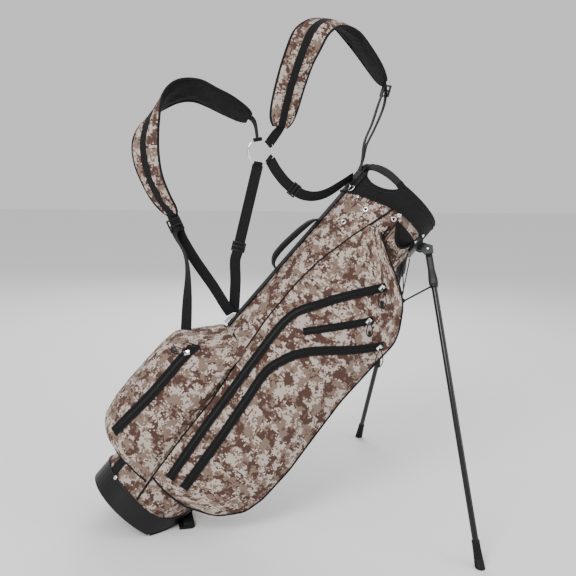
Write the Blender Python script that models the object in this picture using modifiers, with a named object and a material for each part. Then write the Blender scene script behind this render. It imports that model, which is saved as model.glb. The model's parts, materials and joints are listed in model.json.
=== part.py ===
"""Golf stand bag leaning on its open legs.

Almost everything is modelled in the bag's own axes: the club tube runs up +Z from the
base, +X is the underside where the legs fold, -X is the spine, and -Y is the side with
the zipped pocket.  The empty "bag_axis" then leans the bag over.  The row frame has the
ground at Z = 0, and its origin lies under the heel plate.
"""
import math

import bmesh
import bpy
from mathutils import Matrix, Quaternion, Vector

# Driving dimensions, in metres and degrees.
LEAN = math.radians(41.1)
HEEL_X = 0.040
ORIGIN_SHIFT = 0.040
TUBE_R = 0.0965
TUBE_WALL = 0.002
TUBE_TOP = 0.822
BOOT_R = 0.0995
BOOT_WALL = 0.0027
BOOT_FLOOR = 0.010
RIM_R = 0.101
RIM_Z = 0.862
PLATE_T = 0.005
GAP = 0.0003
SIDES = 48

HINGE_BARREL_R = 0.0032
HINGE_PIN_R = 0.00125
HINGE_HALF = 0.060

PIVOT = Vector((0.110, -0.054, 0.810))
LEG_LENGTH = 0.629
LEG_DIR = Vector((0.599, -0.440, -0.670)).normalized()
LEG_R = 0.006
LEG_PIN_R = 0.002
CHEEK_T = 0.004
TONGUE_T = 0.008
CHEEK_OUTLINE = ((-0.027, -0.018), (-0.0105, -0.0140), (-0.0085, -0.0108), (0.004, -0.0110),
                 (0.0098, -0.006), (0.011, 0.004), (0.003, 0.012), (-0.027, 0.001))

ROD_X = 0.1008
ROD_Y = 0.022
ROD_R = 0.002
ROD_FOOT_Z = 0.0626
YOKE = Vector((0.160, 0.0, 0.700))
YOKE_R = 0.0055
YOKE_HALF = 0.015
LINK_Y = 0.0195
LINK_R = 0.0016
LINK_REACH = 0.0685
CORD_R = 0.0012

WEB_T = 0.002
ZIP_W = 0.018
ZIP_LIFT = 0.0022
PULL_R = 0.0009

BAG_ORIGIN = Vector((-HEEL_X * math.cos(LEAN) - ORIGIN_SHIFT, 0, HEEL_X * math.sin(LEAN)))
BAG_MATRIX = Matrix.Translation(BAG_ORIGIN) @ Matrix.Rotation(LEAN, 4, "Y")


# ---------------------------------------------------------------- scene and helpers

def clear_scene():
    for item in list(bpy.data.objects):
        bpy.data.objects.remove(item, do_unlink=True)


def new_collection(name):
    group = bpy.data.collections.new(name)
    bpy.context.scene.collection.children.link(group)
    return group


def material(name, colour, roughness, metallic=0.0):
    made = bpy.data.materials.new(name)
    made.use_nodes = True
    shader = made.node_tree.nodes["Principled BSDF"]
    shader.inputs["Base Color"].default_value = (*colour, 1.0)
    shader.inputs["Roughness"].default_value = roughness
    shader.inputs["Metallic"].default_value = metallic
    return made


def empty(name, parent=None, location=(0, 0, 0), rotation=None):
    node = bpy.data.objects.new(name, None)
    PARTS.objects.link(node)
    node.parent = parent
    node.location = location
    node.rotation_mode = "QUATERNION"
    if rotation:
        node.rotation_quaternion = rotation
    return node


def finish_mesh(name, bm, finish, parent, group=None, location=(0, 0, 0)):
    bmesh.ops.recalc_face_normals(bm, faces=bm.faces)
    mesh = bpy.data.meshes.new(name)
    bm.to_mesh(mesh)
    bm.free()
    mesh.shade_smooth()
    mesh.set_sharp_from_angle(angle=math.radians(35))
    node = bpy.data.objects.new(name, mesh)
    (group or PARTS).objects.link(node)
    node.parent = parent
    node.location = location
    if finish:
        mesh.materials.append(finish)
    return node


def cutter(name, bm, parent):
    tool = finish_mesh(name, bm, None, parent, CUTTERS)
    tool.hide_render = True
    tool.display_type = "WIRE"
    return tool


def boolean(target, tool, operation="DIFFERENCE"):
    step = target.modifiers.new(operation.title(), "BOOLEAN")
    step.operation = operation
    step.solver = "EXACT"
    step.object = tool


def bevel(target, width, segments=1):
    step = target.modifiers.new("Bevel", "BEVEL")
    step.width = width
    step.segments = segments
    step.limit_method = "ANGLE"
    step.angle_limit = math.radians(40)


def clip(bm, point, normal):
    """Cut the mesh at a plane, drop what lies behind the normal, and close the hole."""
    parts = bm.verts[:] + bm.edges[:] + bm.faces[:]
    cut = bmesh.ops.bisect_plane(bm, geom=parts, plane_co=point, plane_no=normal, clear_inner=True)
    rim = [item for item in cut["geom_cut"] if isinstance(item, bmesh.types.BMEdge)]
    bmesh.ops.contextual_create(bm, geom=rim)


def ground_plane(height):
    """Point and upward normal, in bag axes, of the level plane this high off the ground."""
    normal = Vector((-math.sin(LEAN), 0, math.cos(LEAN)))
    return Vector((HEEL_X, 0, 0)) + normal * height, normal


def box(size, centre=(0, 0, 0), turn=None):
    bm = bmesh.new()
    shape = Matrix.Translation(centre) @ (turn or Matrix.Identity(4)) @ Matrix.Diagonal((*size, 1))
    bmesh.ops.create_cube(bm, size=1.0, matrix=shape)
    return bm


def cylinder(radius, low, high, sides=SIDES):
    """A cylinder from low to high, two points of the same axes."""
    low, high = Vector(low), Vector(high)
    direction = (high - low).normalized()
    turn = direction.to_track_quat("Z", "Y").to_matrix().to_4x4()
    place = Matrix.Translation((low + high) / 2) @ turn
    bm = bmesh.new()
    bmesh.ops.create_cone(bm, cap_ends=True, segments=sides, radius1=radius, radius2=radius,
                          depth=(high - low).length, matrix=place)
    return bm


def drum(radius, z_low, z_high, lift=None):
    """An upright cylinder, with its lower corner cut parallel to the ground."""
    bm = cylinder(radius, (0, 0, z_low), (0, 0, z_high))
    if lift is not None:
        clip(bm, *ground_plane(lift))
    return bm


def prism(outline, half_width):
    """The outline in the X-Z plane, extruded from -half_width to +half_width along Y."""
    bm = bmesh.new()
    face = bm.faces.new([bm.verts.new((x, -half_width, z)) for x, z in outline])
    sweep = bmesh.ops.extrude_face_region(bm, geom=[face])
    moved = [item for item in sweep["geom"] if isinstance(item, bmesh.types.BMVert)]
    bmesh.ops.translate(bm, vec=(0, 2 * half_width, 0), verts=moved)
    return bm


def loft(rings):
    """A closed skin through rings that all have the same number of points."""
    bm = bmesh.new()
    loops = [[bm.verts.new(point) for point in ring] for ring in rings]
    count = len(loops[0])
    for lower, upper in zip(loops, loops[1:]):
        for i in range(count):
            j = (i + 1) % count
            bm.faces.new((lower[i], lower[j], upper[j], upper[i]))
    bm.faces.new(loops[0])
    bm.faces.new(loops[-1])
    return bm


def arc_band(start, end, r_in, r_out, z_low, z_high, steps):
    """A rectangular section swept round +Z between two angles in degrees."""
    rings = []
    for k in range(steps + 1):
        angle = math.radians(start + (end - start) * k / steps)
        c, s = math.cos(angle), math.sin(angle)
        corners = ((r_in, z_low), (r_out, z_low), (r_out, z_high), (r_in, z_high))
        rings.append([(r * c, r * s, z) for r, z in corners])
    return loft(rings)


def catmull(values, steps):
    """A smooth run of vectors through the given ones."""
    values = [Vector(v) for v in values]
    padded = [2 * values[0] - values[1]] + values + [2 * values[-1] - values[-2]]
    run = []
    for i in range(1, len(padded) - 2):
        a, b, c, d = padded[i - 1:i + 3]
        for k in range(steps):
            t = k / steps
            run.append(0.5 * (2 * b + (c - a) * t + (2 * a - 5 * b + 4 * c - d) * t ** 2
                              + (3 * b - a - 3 * c + d) * t ** 3))
    run.append(values[-1])
    return run


def interpolate(table, x):
    """Value between the rows of a table of (x, value) that rises in x."""
    if x <= table[0][0]:
        return table[0][1]
    for (x0, v0), (x1, v1) in zip(table, table[1:]):
        if x <= x1:
            t = (x - x0) / (x1 - x0)
            return v0 + (v1 - v0) * t
    return table[-1][1]


def frames(points, sides):
    """Point, width direction and face normal at each point of a strap."""
    out = []
    for i, point in enumerate(points):
        ahead = points[min(i + 1, len(points) - 1)]
        behind = points[max(i - 1, 0)]
        along = (ahead - behind).normalized()
        side = sides[i] - along * sides[i].dot(along)
        side.normalize()
        out.append((point, side, side.cross(along)))
    return out


def strap(name, points, sides, width, finish, steps=3, thickness=WEB_T):
    """Flat webbing through the points, with its width along the side directions."""
    run = frames(catmull(points, steps), catmull(sides, steps))
    rings = []
    for point, side, normal in run:
        a, b = side * width / 2, normal * thickness / 2
        rings.append([point + a + b, point - a + b, point - a - b, point + a - b])
    return finish_mesh(name, loft(rings), finish, BAG)


def wire(name, points, radius, finish, parent, cyclic=False, resolution=2, location=(0, 0, 0)):
    """A round wire or cord: a poly curve with a bevel and filled caps."""
    curve = bpy.data.curves.new(name, "CURVE")
    curve.dimensions = "3D"
    curve.bevel_depth = radius
    curve.bevel_resolution = resolution
    curve.use_fill_caps = True
    spline = curve.splines.new("POLY")
    spline.points.add(len(points) - 1)
    for slot, point in zip(spline.points, points):
        slot.co = (*point, 1.0)
    spline.use_cyclic_u = cyclic
    curve.materials.append(finish)
    node = bpy.data.objects.new(name, curve)
    PARTS.objects.link(node)
    node.parent = parent
    node.location = location
    return node


# ---------------------------------------------------------------- base and tube

def make_boot():
    boot = finish_mesh("base_boot", drum(BOOT_R, 0.0, 0.078, PLATE_T + GAP), BLACK_PLASTIC, BAG)
    inside = drum(BOOT_R - BOOT_WALL, BOOT_FLOOR, 0.1, PLATE_T + 0.0043)
    boolean(boot, cutter("boot_inside", inside, BAG))
    rim = ((-0.12, 0.045), (-0.05, 0.045), (0.0, 0.040), (0.03, 0.042), (0.06, 0.053),
           (0.085, 0.068), (0.11, 0.074), (0.11, 0.2), (-0.12, 0.2))
    boolean(boot, cutter("boot_rim", prism(rim, 0.12), BAG))
    axis_x, axis_z = heel_axis()
    groove = cylinder(0.0039, (axis_x, -0.0625, axis_z), (axis_x, 0.0625, axis_z), sides=16)
    boolean(boot, cutter("boot_hinge_groove", groove, BAG))
    reach = 0.0805
    bore = cylinder(0.0016, (axis_x, -reach, axis_z), (axis_x, reach, axis_z), sides=16)
    boolean(boot, cutter("boot_pin_bore", bore, BAG))
    return boot


def heel_axis():
    """The hinge lies one barrel radius inside both the flat base and the ground."""
    half = (math.pi - LEAN) / 2
    inset = HINGE_BARREL_R / math.sin(half)
    turn = LEAN + half
    return HEEL_X + inset * math.cos(turn), inset * math.sin(turn)


def heel_outline():
    """Level outline of the heel plate: the drum's footprint with a toe bar across it."""
    centre_x = -HEEL_X / math.cos(LEAN)
    half_x = (BOOT_R - 0.001) / math.cos(LEAN)
    half_y = BOOT_R - 0.001
    start_x, bar_x, bar_end, bar_half = 0.0008, 0.060, 0.092, 0.078
    side = []
    for k in range(9):
        x = start_x + (bar_x - start_x) * k / 8
        side.append((x, half_y * math.sqrt(1 - ((x - centre_x) / half_x) ** 2)))
    side += [(bar_x, bar_half), (bar_end - 0.006, bar_half), (bar_end, bar_half - 0.006)]
    return [(x, -y) for x, y in side] + [(x, y) for x, y in reversed(side)]


def make_heel_plate():
    """The plate lies on the ground; its origin is on its hinge axis."""
    axis = BAG_MATRIX @ Vector((heel_axis()[0], 0, heel_axis()[1]))
    bm = bmesh.new()
    face = bm.faces.new([bm.verts.new((x - ORIGIN_SHIFT, y, 0)) for x, y in heel_outline()])
    sweep = bmesh.ops.extrude_face_region(bm, geom=[face])
    moved = [item for item in sweep["geom"] if isinstance(item, bmesh.types.BMVert)]
    bmesh.ops.translate(bm, vec=(0, 0, PLATE_T), verts=moved)
    bmesh.ops.translate(bm, vec=-axis, verts=bm.verts)
    plate = finish_mesh("heel_plate", bm, BLACK_RUBBER, ROW, location=axis)

    barrel = cylinder(HINGE_BARREL_R, axis - Vector((0, HINGE_HALF, 0)),
                      axis + Vector((0, HINGE_HALF, 0)), sides=16)
    boolean(plate, cutter("heel_barrel", barrel, ROW), "UNION")
    for y in (-0.069, 0.069):
        lug = box((0.018, 0.016, 0.010), (0.078 - ORIGIN_SHIFT, y, 0.0086))
        boolean(plate, cutter("heel_lug", lug, ROW), "UNION")
    bore = cylinder(0.00155, axis - Vector((0, 0.09, 0)), axis + Vector((0, 0.09, 0)), sides=16)
    boolean(plate, cutter("heel_bore", bore, ROW))

    reach = Vector((0, 0.078, 0))
    pin = cylinder(HINGE_PIN_R, axis - reach, axis + reach, sides=16)
    finish_mesh("heel_hinge_pin", pin, STEEL, ROW)


def make_tube():
    tube = finish_mesh("body_tube", drum(TUBE_R, BOOT_FLOOR + GAP, TUBE_TOP, 0.0096), CAMO, BAG)
    boolean(tube, cutter("tube_inside", drum(TUBE_R - TUBE_WALL, -0.01, 0.9), BAG))
    pad = drum(0.088, BOOT_FLOOR + GAP, 0.022, None)
    clip(pad, (0.030, 0, 0), (-1, 0, 0))
    finish_mesh("base_pad", pad, FOAM, BAG)
    for name, angle in (("stay_near", 215), ("stay_far", 145)):
        x = 0.0913 * math.cos(math.radians(angle))
        y = 0.0913 * math.sin(math.radians(angle))
        rod = cylinder(0.0025, (x, y, 0.024), (x, y, 0.800), sides=12)
        finish_mesh(name, rod, STEEL, BAG)
    strip = box((0.0018, 0.024, 0.370), (-TUBE_R - 0.0015, 0, 0.600))
    finish_mesh("spine_strip", strip, WEBBING, BAG)


# ---------------------------------------------------------------- top

def make_collar():
    """A turned rim over the tube's edge, with a scoop under the lift handle."""
    profile = ((TUBE_R + 0.0005, 0.780), (RIM_R - 0.0005, 0.780), (RIM_R, 0.820), (RIM_R, 0.856),
               (RIM_R - 0.003, RIM_Z), (0.0945, RIM_Z), (0.0925, 0.858), (0.0925, TUBE_TOP + GAP),
               (TUBE_R + 0.0005, TUBE_TOP + GAP))
    bm = bmesh.new()
    loop = [bm.verts.new((r, 0, z)) for r, z in reversed(profile)]
    edges = [bm.edges.new((loop[i], loop[(i + 1) % len(loop)])) for i in range(len(loop))]
    bmesh.ops.spin(bm, geom=loop + edges, cent=(0, 0, 0), axis=(0, 0, 1),
                   angle=2 * math.pi, steps=SIDES, use_duplicate=False, use_merge=True)
    bmesh.ops.remove_doubles(bm, verts=bm.verts, dist=1e-6)
    collar = finish_mesh("top_collar", bm, BLACK_FABRIC, BAG)
    lower = ((-0.12, 0.7), (0.12, 0.7), (0.12, 0.815), (0.04, 0.815), (0.0, 0.8135),
             (-0.023, 0.810), (-0.053, 0.800), (-0.084, 0.790), (-0.12, 0.778))
    boolean(collar, cutter("collar_lower_edge", prism(lower, 0.12), BAG))
    boolean(collar, cutter("collar_scoop", scoop_shape(), BAG))


SCOOP_ANGLE = 219
SCOOP_HALF = 0.052
SCOOP_DEPTH = 0.0415
SCOOP_Z = 0.8685


def scoop_shape():
    """An oval bite out of the collar's near spine quarter."""
    angle = math.radians(SCOOP_ANGLE)
    out = Vector((math.cos(angle), math.sin(angle), 0))
    turn = Matrix.Rotation(angle, 4, "Z") @ Matrix.Rotation(math.pi / 2, 4, "Y")
    place = Matrix.Translation(out * 0.09 + Vector((0, 0, SCOOP_Z))) @ turn
    bm = bmesh.new()
    bmesh.ops.create_cone(bm, cap_ends=True, segments=32, radius1=1, radius2=1, depth=1,
                          matrix=place @ Matrix.Diagonal((SCOOP_DEPTH, SCOOP_HALF, 0.10, 1)))
    return bm


def make_lift_handle():
    """A grip that carries the rim's circle across the scoop."""
    half = 25.2
    rings = []
    for k in range(13):
        t = -1 + 2 * k / 12
        angle = math.radians(SCOOP_ANGLE + half * t)
        rise = 0.006 * (1 - t * t)
        height = 0.0075 - 0.001 * abs(t)
        out = Vector((math.cos(angle), math.sin(angle), 0))
        middle = out * (0.0972 + 0.002 * (1 - t * t)) + Vector((0, 0, 0.8535 + rise))
        ring = []
        for i in range(8):
            a = math.radians(22.5 + 45 * i)
            ring.append(middle + out * (0.0045 * math.cos(a)) + Vector((0, 0, height * math.sin(a))))
        rings.append(ring)
    finish_mesh("lift_handle", loft(rings), GRIP, BAG)


def make_dividers():
    frame = finish_mesh("divider_frame", cylinder(0.0918, (0, 0, 0.806), (0, 0, 0.818)), FOAM, BAG)
    for x in (-1, 1):
        for y in (-1, 1):
            boolean(frame, cutter("divider_well", well_shape(x, y), BAG))
    sheets = finish_mesh("divider_sheets", box((0.176, 0.002, 0.740), (0, 0, 0.4355)), FOAM, BAG)
    across = box((0.002, 0.176, 0.740), (0, 0, 0.4355))
    boolean(sheets, cutter("divider_across", across, BAG), "UNION")


def well_shape(sign_x, sign_y):
    """A quarter disc, the hole that one club well leaves in the frame."""
    inset, radius = 0.004, 0.086
    first = math.asin(inset / radius)
    arc = []
    for k in range(9):
        angle = first + (math.pi / 2 - 2 * first) * k / 8
        arc.append((radius * math.cos(angle), radius * math.sin(angle)))
    outline = [(inset, inset)] + arc
    rings = [[(sign_x * x, sign_y * y, z) for x, y in outline] for z in (0.80, 0.83)]
    return loft(rings)


# ---------------------------------------------------------------- stand

def mirror_y(vector, side):
    return Vector((vector[0], vector[1] * side, vector[2]))


def leg_frame(side):
    """Turns local -Z down the leg and local Y along the hinge axis."""
    along = mirror_y(LEG_DIR, side)
    hinge = along.cross(Vector((0, 0, -1))).normalized()
    x_axis = hinge.cross(-along)
    return Matrix((x_axis, hinge, -along)).transposed().to_quaternion(), hinge


def make_housing():
    """The moulded bracket that carries both leg pivots between pairs of cheeks."""
    band = arc_band(-46, 46, TUBE_R + 0.0005, 0.1045, 0.776, 0.812, 14)
    housing = finish_mesh("hinge_housing", band, DARK_PLASTIC, BAG)
    for side in (1, -1):
        hinge = leg_frame(side)[1]
        pivot = mirror_y(PIVOT, side)
        out = Vector((hinge.y, -hinge.x, 0))
        for sign in (1, -1):
            middle = pivot + hinge * sign * (TONGUE_T + CHEEK_T + 2 * GAP) / 2
            ring = [middle + out * u + Vector((0, 0, z)) for u, z in CHEEK_OUTLINE]
            half = hinge * CHEEK_T / 2
            cheek = loft([[p - half for p in ring], [p + half for p in ring]])
            boolean(housing, cutter("hinge_cheek", cheek, BAG), "UNION")
    boolean(housing, cutter("housing_inside", drum(TUBE_R + 0.0005, 0.7, 0.9), BAG))
    for side in (1, -1):
        hinge = leg_frame(side)[1]
        pivot = mirror_y(PIVOT, side)
        bore = cylinder(LEG_PIN_R + GAP, pivot - hinge * 0.02, pivot + hinge * 0.02, sides=16)
        boolean(housing, cutter("housing_bore", bore, BAG))


def make_leg(name, side):
    turn = leg_frame(side)[0]
    pivot = mirror_y(PIVOT, side)
    joint = empty(name + "_leg_joint", BAG, pivot, turn)

    rings = []
    for z, half_x, half_y in ((0.008, 0.006, 0.004), (-0.012, 0.0075, 0.004), (-0.018, 0.0075, 0.0065),
                              (-0.045, 0.0075, 0.0075), (-0.066, 0.0098, 0.0098),
                              (-0.076, 0.0098, 0.0098), (-0.080, 0.0078, 0.0078)):
        ring = []
        for i in range(12):
            a = math.radians(15 + 30 * i)
            c, s = math.cos(a), math.sin(a)
            ring.append((half_x * math.copysign(abs(c) ** 0.6, c),
                         half_y * math.copysign(abs(s) ** 0.6, s), z))
        rings.append(ring)
    socket = finish_mesh(name + "_leg_socket", loft(rings), DARK_PLASTIC, joint)
    eye = cylinder(LEG_PIN_R + GAP, (0, -0.02, 0), (0, 0.02, 0), sides=16)
    boolean(socket, cutter("socket_eye", eye, joint))
    well = cylinder(LEG_R + GAP, (0, 0, -0.040), (0, 0, -0.10), sides=16)
    boolean(socket, cutter("socket_well", well, joint))
    pin = cylinder(LEG_PIN_R, (0, -0.0095, 0), (0, 0.0095, 0), sides=12)
    finish_mesh("hinge_pin_" + name, pin, STEEL, joint)

    tube = cylinder(LEG_R, (0, 0, -LEG_LENGTH + 0.016), (0, 0, -0.0403), sides=16)
    finish_mesh(name + "_leg_tube", tube, GRAPHITE, joint)

    rows = ((-0.580, 0.0075), (-0.596, 0.0078), (-0.612, 0.0088), (-0.640, 0.0098))
    foot_rings = []
    for z, radius in rows:
        foot_rings.append([(radius * math.cos(math.radians(22.5 * i)),
                            radius * math.sin(math.radians(22.5 * i)), z) for i in range(16)])
    foot = loft(foot_rings)
    to_row = BAG_MATRIX @ Matrix.Translation(pivot) @ turn.to_matrix().to_4x4()
    to_joint = to_row.inverted()
    clip(foot, to_joint @ to_row.translation.xy.to_3d(), to_joint.to_3x3() @ Vector((0, 0, 1)))
    shoe = finish_mesh(name + "_leg_foot", foot, BLACK_RUBBER, joint)
    socket_hole = cylinder(LEG_R + GAP, (0, 0, -0.5), (0, 0, -LEG_LENGTH + 0.0157), sides=16)
    boolean(shoe, cutter("foot_socket", socket_hole, joint))


def make_linkage():
    """U-shaped push rod, its guide, the yoke at its top and the two link wires."""
    half = [(YOKE.x - 0.0005, 0.009, YOKE.z - YOKE_R - ROD_R - 0.0006), (0.150, 0.011, 0.672),
            (0.132, 0.016, 0.640), (0.112, 0.021, 0.600), (ROD_X, ROD_Y, 0.560),
            (ROD_X, ROD_Y, 0.400), (ROD_X, ROD_Y, 0.240), (ROD_X, ROD_Y, 0.080),
            (ROD_X + 0.0016, ROD_Y - 0.002, ROD_FOOT_Z + 0.004),
            (ROD_X + 0.0035, ROD_Y - 0.006, ROD_FOOT_Z + 0.0042)]
    path = [(x, -y, z) for x, y, z in half] + [(x, y, z) for x, y, z in reversed(half)]
    wire("actuator_rods", path, ROD_R, BLACK_STEEL, BAG)

    guide = finish_mesh("rod_guide", box((0.0105, 0.062, 0.022), (0.1003, 0, 0.420)), DARK_PLASTIC, BAG)
    boolean(guide, cutter("guide_seat", drum(TUBE_R + GAP, 0.3, 0.5), BAG))
    for y in (-ROD_Y, ROD_Y):
        hole = cylinder(ROD_R + 0.0004, (ROD_X, y, 0.3), (ROD_X, y, 0.5), sides=12)
        boolean(guide, cutter("guide_hole", hole, BAG))

    low = YOKE - Vector((0, YOKE_HALF, 0))
    high = YOKE + Vector((0, YOKE_HALF, 0))
    finish_mesh("rod_yoke", cylinder(YOKE_R, low, high, sides=16), BLACK_PLASTIC, BAG)

    for name, side in (("near", 1), ("far", -1)):
        start = Vector((YOKE.x, -LINK_Y * side, YOKE.z))
        target = mirror_y(PIVOT + LEG_DIR * 0.078, side)
        reach = (target - start).normalized()
        rings = []
        for t, radius in ((-0.0032, 0.0020), (0.0, 0.0034), (0.0032, 0.0020), (0.006, LINK_R),
                          (0.5 * LINK_REACH, LINK_R), (LINK_REACH, LINK_R)):
            turn = reach.to_track_quat("Z", "Y")
            ring = []
            for i in range(8):
                a = math.radians(45 * i)
                ring.append(turn @ Vector((radius * math.cos(a), radius * math.sin(a), t)))
            rings.append(ring)
        finish_mesh("link_wire_" + name, loft(rings), BLACK_STEEL, BAG, location=start)


def make_return_cords():
    """Two elastic cords that pull the yoke back up; they meet at the yoke."""
    meet = YOKE + Vector((-0.0035, 0, YOKE_R + 0.0012))
    routes = {
        "return_cord_near": [(0.070, -0.079, 0.768), (0.079, -0.069, 0.762), (0.090, -0.053, 0.753),
                             (0.103, -0.040, 0.743), (0.125, -0.029, 0.729), (0.146, -0.017, 0.715),
                             meet + Vector((0, -0.004, 0))],
        "return_cord_far": [(0.1010, -0.030, 0.774), (0.108, -0.029, 0.765), (0.121, -0.024, 0.748),
                            (0.137, -0.015, 0.731), (0.150, -0.005, 0.717), meet + Vector((0, 0.002, 0.001))],
    }
    for name, route in routes.items():
        wire(name, catmull(route, 3), CORD_R, ELASTIC, BAG)


# ---------------------------------------------------------------- pockets

SEAM = ((0.034, -0.030), (0.087, -0.036), (0.195, -0.043), (0.290, -0.046), (0.400, -0.059),
        (0.480, -0.066), (0.576, -0.067), (0.634, -0.063), (0.714, -0.048), (0.808, -0.023))
OUTER_EDGE = ((0.098, 0.020), (0.104, 0.066), (0.114, 0.102), (0.157, 0.147), (0.200, 0.159),
              (0.278, 0.162), (0.356, 0.156), (0.450, 0.150), (0.531, 0.153), (0.608, 0.157),
              (0.635, 0.147), (0.669, 0.124), (0.687, 0.108), (0.707, 0.075), (0.723, 0.036),
              (0.740, 0.002), (0.758, -0.034))
POCKET_Z = (0.098, 0.104, 0.114, 0.132, 0.157, 0.200, 0.278, 0.356, 0.450, 0.531, 0.580, 0.608,
            0.635, 0.655, 0.675, 0.690, 0.707, 0.723, 0.740, 0.753)
FULLNESS = ((0.098, 0.35), (0.157, 0.75), (0.240, 1.0), (0.600, 1.0), (0.680, 0.7), (0.753, 0.1))
EDGE_Y = -0.122
FAR_SEAM_X = -0.034
POCKET_BACK_R = TUBE_R + 0.0012
BULGE = 0.030
INNER_WALL_Y = 0.0765


def tube_y(x, radius=TUBE_R):
    """Height of the tube's wall above its middle plane, as a positive distance."""
    return math.sqrt(max(radius * radius - x * x, 0.0))


def face_y(x, z):
    """Near side pocket's outer face: Y at this place, always clear of the tube."""
    seam, edge = interpolate(SEAM, z), interpolate(OUTER_EDGE, z)
    t = min(max((x - seam) / (edge - seam), 0.0), 1.0)
    start = -tube_y(seam) - 0.003
    level = start + (EDGE_Y - start) * t
    crowned = level - BULGE * interpolate(FULLNESS, z) * math.sin(math.pi * t) ** 0.8
    cover = -tube_y(x) - 0.003 - 0.012 * min(1.0, t / 0.2) * interpolate(FULLNESS, z)
    return min(crowned, cover)


def leg_side_y(x):
    """Pocket's hidden inner wall, which keeps clear of the leg as it swings."""
    clearance = 0.0155
    swing = PIVOT.y - LEG_DIR.y / LEG_DIR.x * -(x - PIVOT.x) - clearance
    return min(-INNER_WALL_Y, swing)


def pocket_rings(faces=11, backs=9):
    rings = []
    for z in POCKET_Z:
        seam, edge = interpolate(SEAM, z), interpolate(OUTER_EDGE, z)
        front = []
        for k in range(faces):
            x = seam + (edge - seam) * k / (faces - 1)
            front.append((x, face_y(x, z), z))
        back_edge = edge - 0.003
        tube_end = min(0.060, back_edge - 0.002)
        middle = max(tube_end + 0.001, 0.5 * (tube_end + back_edge))
        clear = TUBE_R - 0.005
        walls = []
        for x in (back_edge, middle):
            touch = -tube_y(x, clear) if x < tube_end + 0.003 else leg_side_y(x)
            walls.append((x, max(touch, face_y(min(x, edge), z) + 0.0015), z))
        back = []
        for k in range(backs):
            x = tube_end + (seam - tube_end) * k / (backs - 1)
            back.append((x, -tube_y(x, clear), z))
        rings.append(front + walls + back)
    return rings


def make_side_pockets():
    pocket = finish_mesh("side_pocket_near", loft(pocket_rings()), CAMO, BAG)
    boolean(pocket, cutter("pocket_back", drum(TUBE_R + 0.0006, 0.02, 0.80), BAG))
    rings = []
    for z, reach, depth in ((0.110, 0.020, 0.012), (0.130, 0.028, 0.020), (0.200, 0.034, 0.026),
                            (0.400, 0.036, 0.028), (0.600, 0.034, 0.026), (0.690, 0.026, 0.018),
                            (0.715, 0.016, 0.010)):
        ring = []
        clear = POCKET_BACK_R
        for k in range(9):
            t = k / 8
            x = FAR_SEAM_X + (reach - FAR_SEAM_X) * t
            ring.append((x, tube_y(x, clear) + 0.003 + depth * math.sin(math.pi * t) ** 0.7, z))
        for k in range(7):
            x = reach + (FAR_SEAM_X - reach) * k / 6
            ring.append((x, tube_y(x, clear), z))
        rings.append(ring)
    finish_mesh("side_pocket_far", loft(rings), CAMO, BAG)


BALL_SECTION = ((-0.066, -0.096), (-0.105, -0.090), (-0.135, -0.082), (-0.156, -0.068),
                (-0.168, -0.046), (-0.173, -0.022), (-0.174, 0.0))
BALL_SWELL = ((0.084, 0.30), (0.094, 0.66), (0.115, 0.90), (0.160, 1.0), (0.220, 1.0),
              (0.300, 0.98), (0.336, 0.92), (0.350, 0.72), (0.372, 0.46), (0.392, 0.22), (0.408, 0.05))


def ball_seam(z):
    return interpolate(SEAM, z) - 0.006


def ball_point(index, z):
    """Half section of the ball pocket at this height, from its seam to its nose."""
    swell = interpolate(BALL_SWELL, z)
    if index < 0:
        x = ball_seam(z)
        return Vector((x, -tube_y(x) - 0.003, z))
    x, y = BALL_SECTION[index]
    flat = Vector((x, y, 0)).normalized() * (TUBE_R + 0.0035)
    return Vector((flat.x + (x - flat.x) * swell, flat.y + (y - flat.y) * swell, z))


def make_ball_pocket():
    rings = []
    for z, _ in BALL_SWELL:
        half = [ball_point(i, z) for i in range(-1, len(BALL_SECTION))]
        front = half + [Vector((p.x, -p.y, p.z)) for p in reversed(half[:-1])]
        start = math.atan2(-half[0].y, half[0].x)
        back = []
        for k in range(13):
            angle = start + (2 * math.pi - 2 * start) * k / 12
            radius = POCKET_BACK_R
            back.append(Vector((radius * math.cos(angle), radius * math.sin(angle), z)))
        rings.append(front + back)
    finish_mesh("ball_pocket", loft(rings), CAMO, BAG)


def make_bottle_sleeve():
    """A small drop-in sleeve beside the collar, open at its top."""
    def crescent(x_low, x_high, lift, inner, z):
        ring = []
        for k in range(9):
            t = k / 8
            x = x_low + (x_high - x_low) * t
            ring.append((x, -tube_y(x, inner) - 0.0016 - lift * math.sin(math.pi * t) ** 0.6, z))
        for k in range(9):
            x = x_high + (x_low - x_high) * k / 8
            ring.append((x, -tube_y(x, inner), z))
        return ring

    skin = POCKET_BACK_R
    outside = [crescent(0.006, 0.060, 0.007, skin, 0.7475), crescent(0.004, 0.064, 0.016, skin, 0.754),
               crescent(0.003, 0.066, 0.020, skin, 0.774), crescent(0.003, 0.066, 0.020, skin, 0.7955)]
    sleeve = finish_mesh("bottle_sleeve", loft(outside), CAMO, BAG)
    hollow = [crescent(0.010, 0.058, 0.012, TUBE_R + 0.0024, 0.756),
              crescent(0.009, 0.060, 0.0155, TUBE_R + 0.0024, 0.774),
              crescent(0.009, 0.060, 0.0155, TUBE_R + 0.0024, 0.81)]
    boolean(sleeve, cutter("sleeve_hollow", loft(hollow), BAG))


ZIP_UPPER = ((0.060, 0.680), (0.025, 0.631), (-0.008, 0.580), (-0.034, 0.533), (-0.041, 0.500),
             (-0.041, 0.457), (-0.038, 0.411), (-0.031, 0.316), (-0.024, 0.225), (-0.013, 0.120))
ZIP_LOWER = ((0.137, 0.589), (0.096, 0.547), (0.042, 0.499), (0.015, 0.466), (0.002, 0.439),
             (-0.008, 0.400), (-0.003, 0.341), (0.007, 0.246), (0.018, 0.124))
ZIP_SHORT = ((-0.004, 0.506), (0.040, 0.560), (0.084, 0.614))


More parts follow.
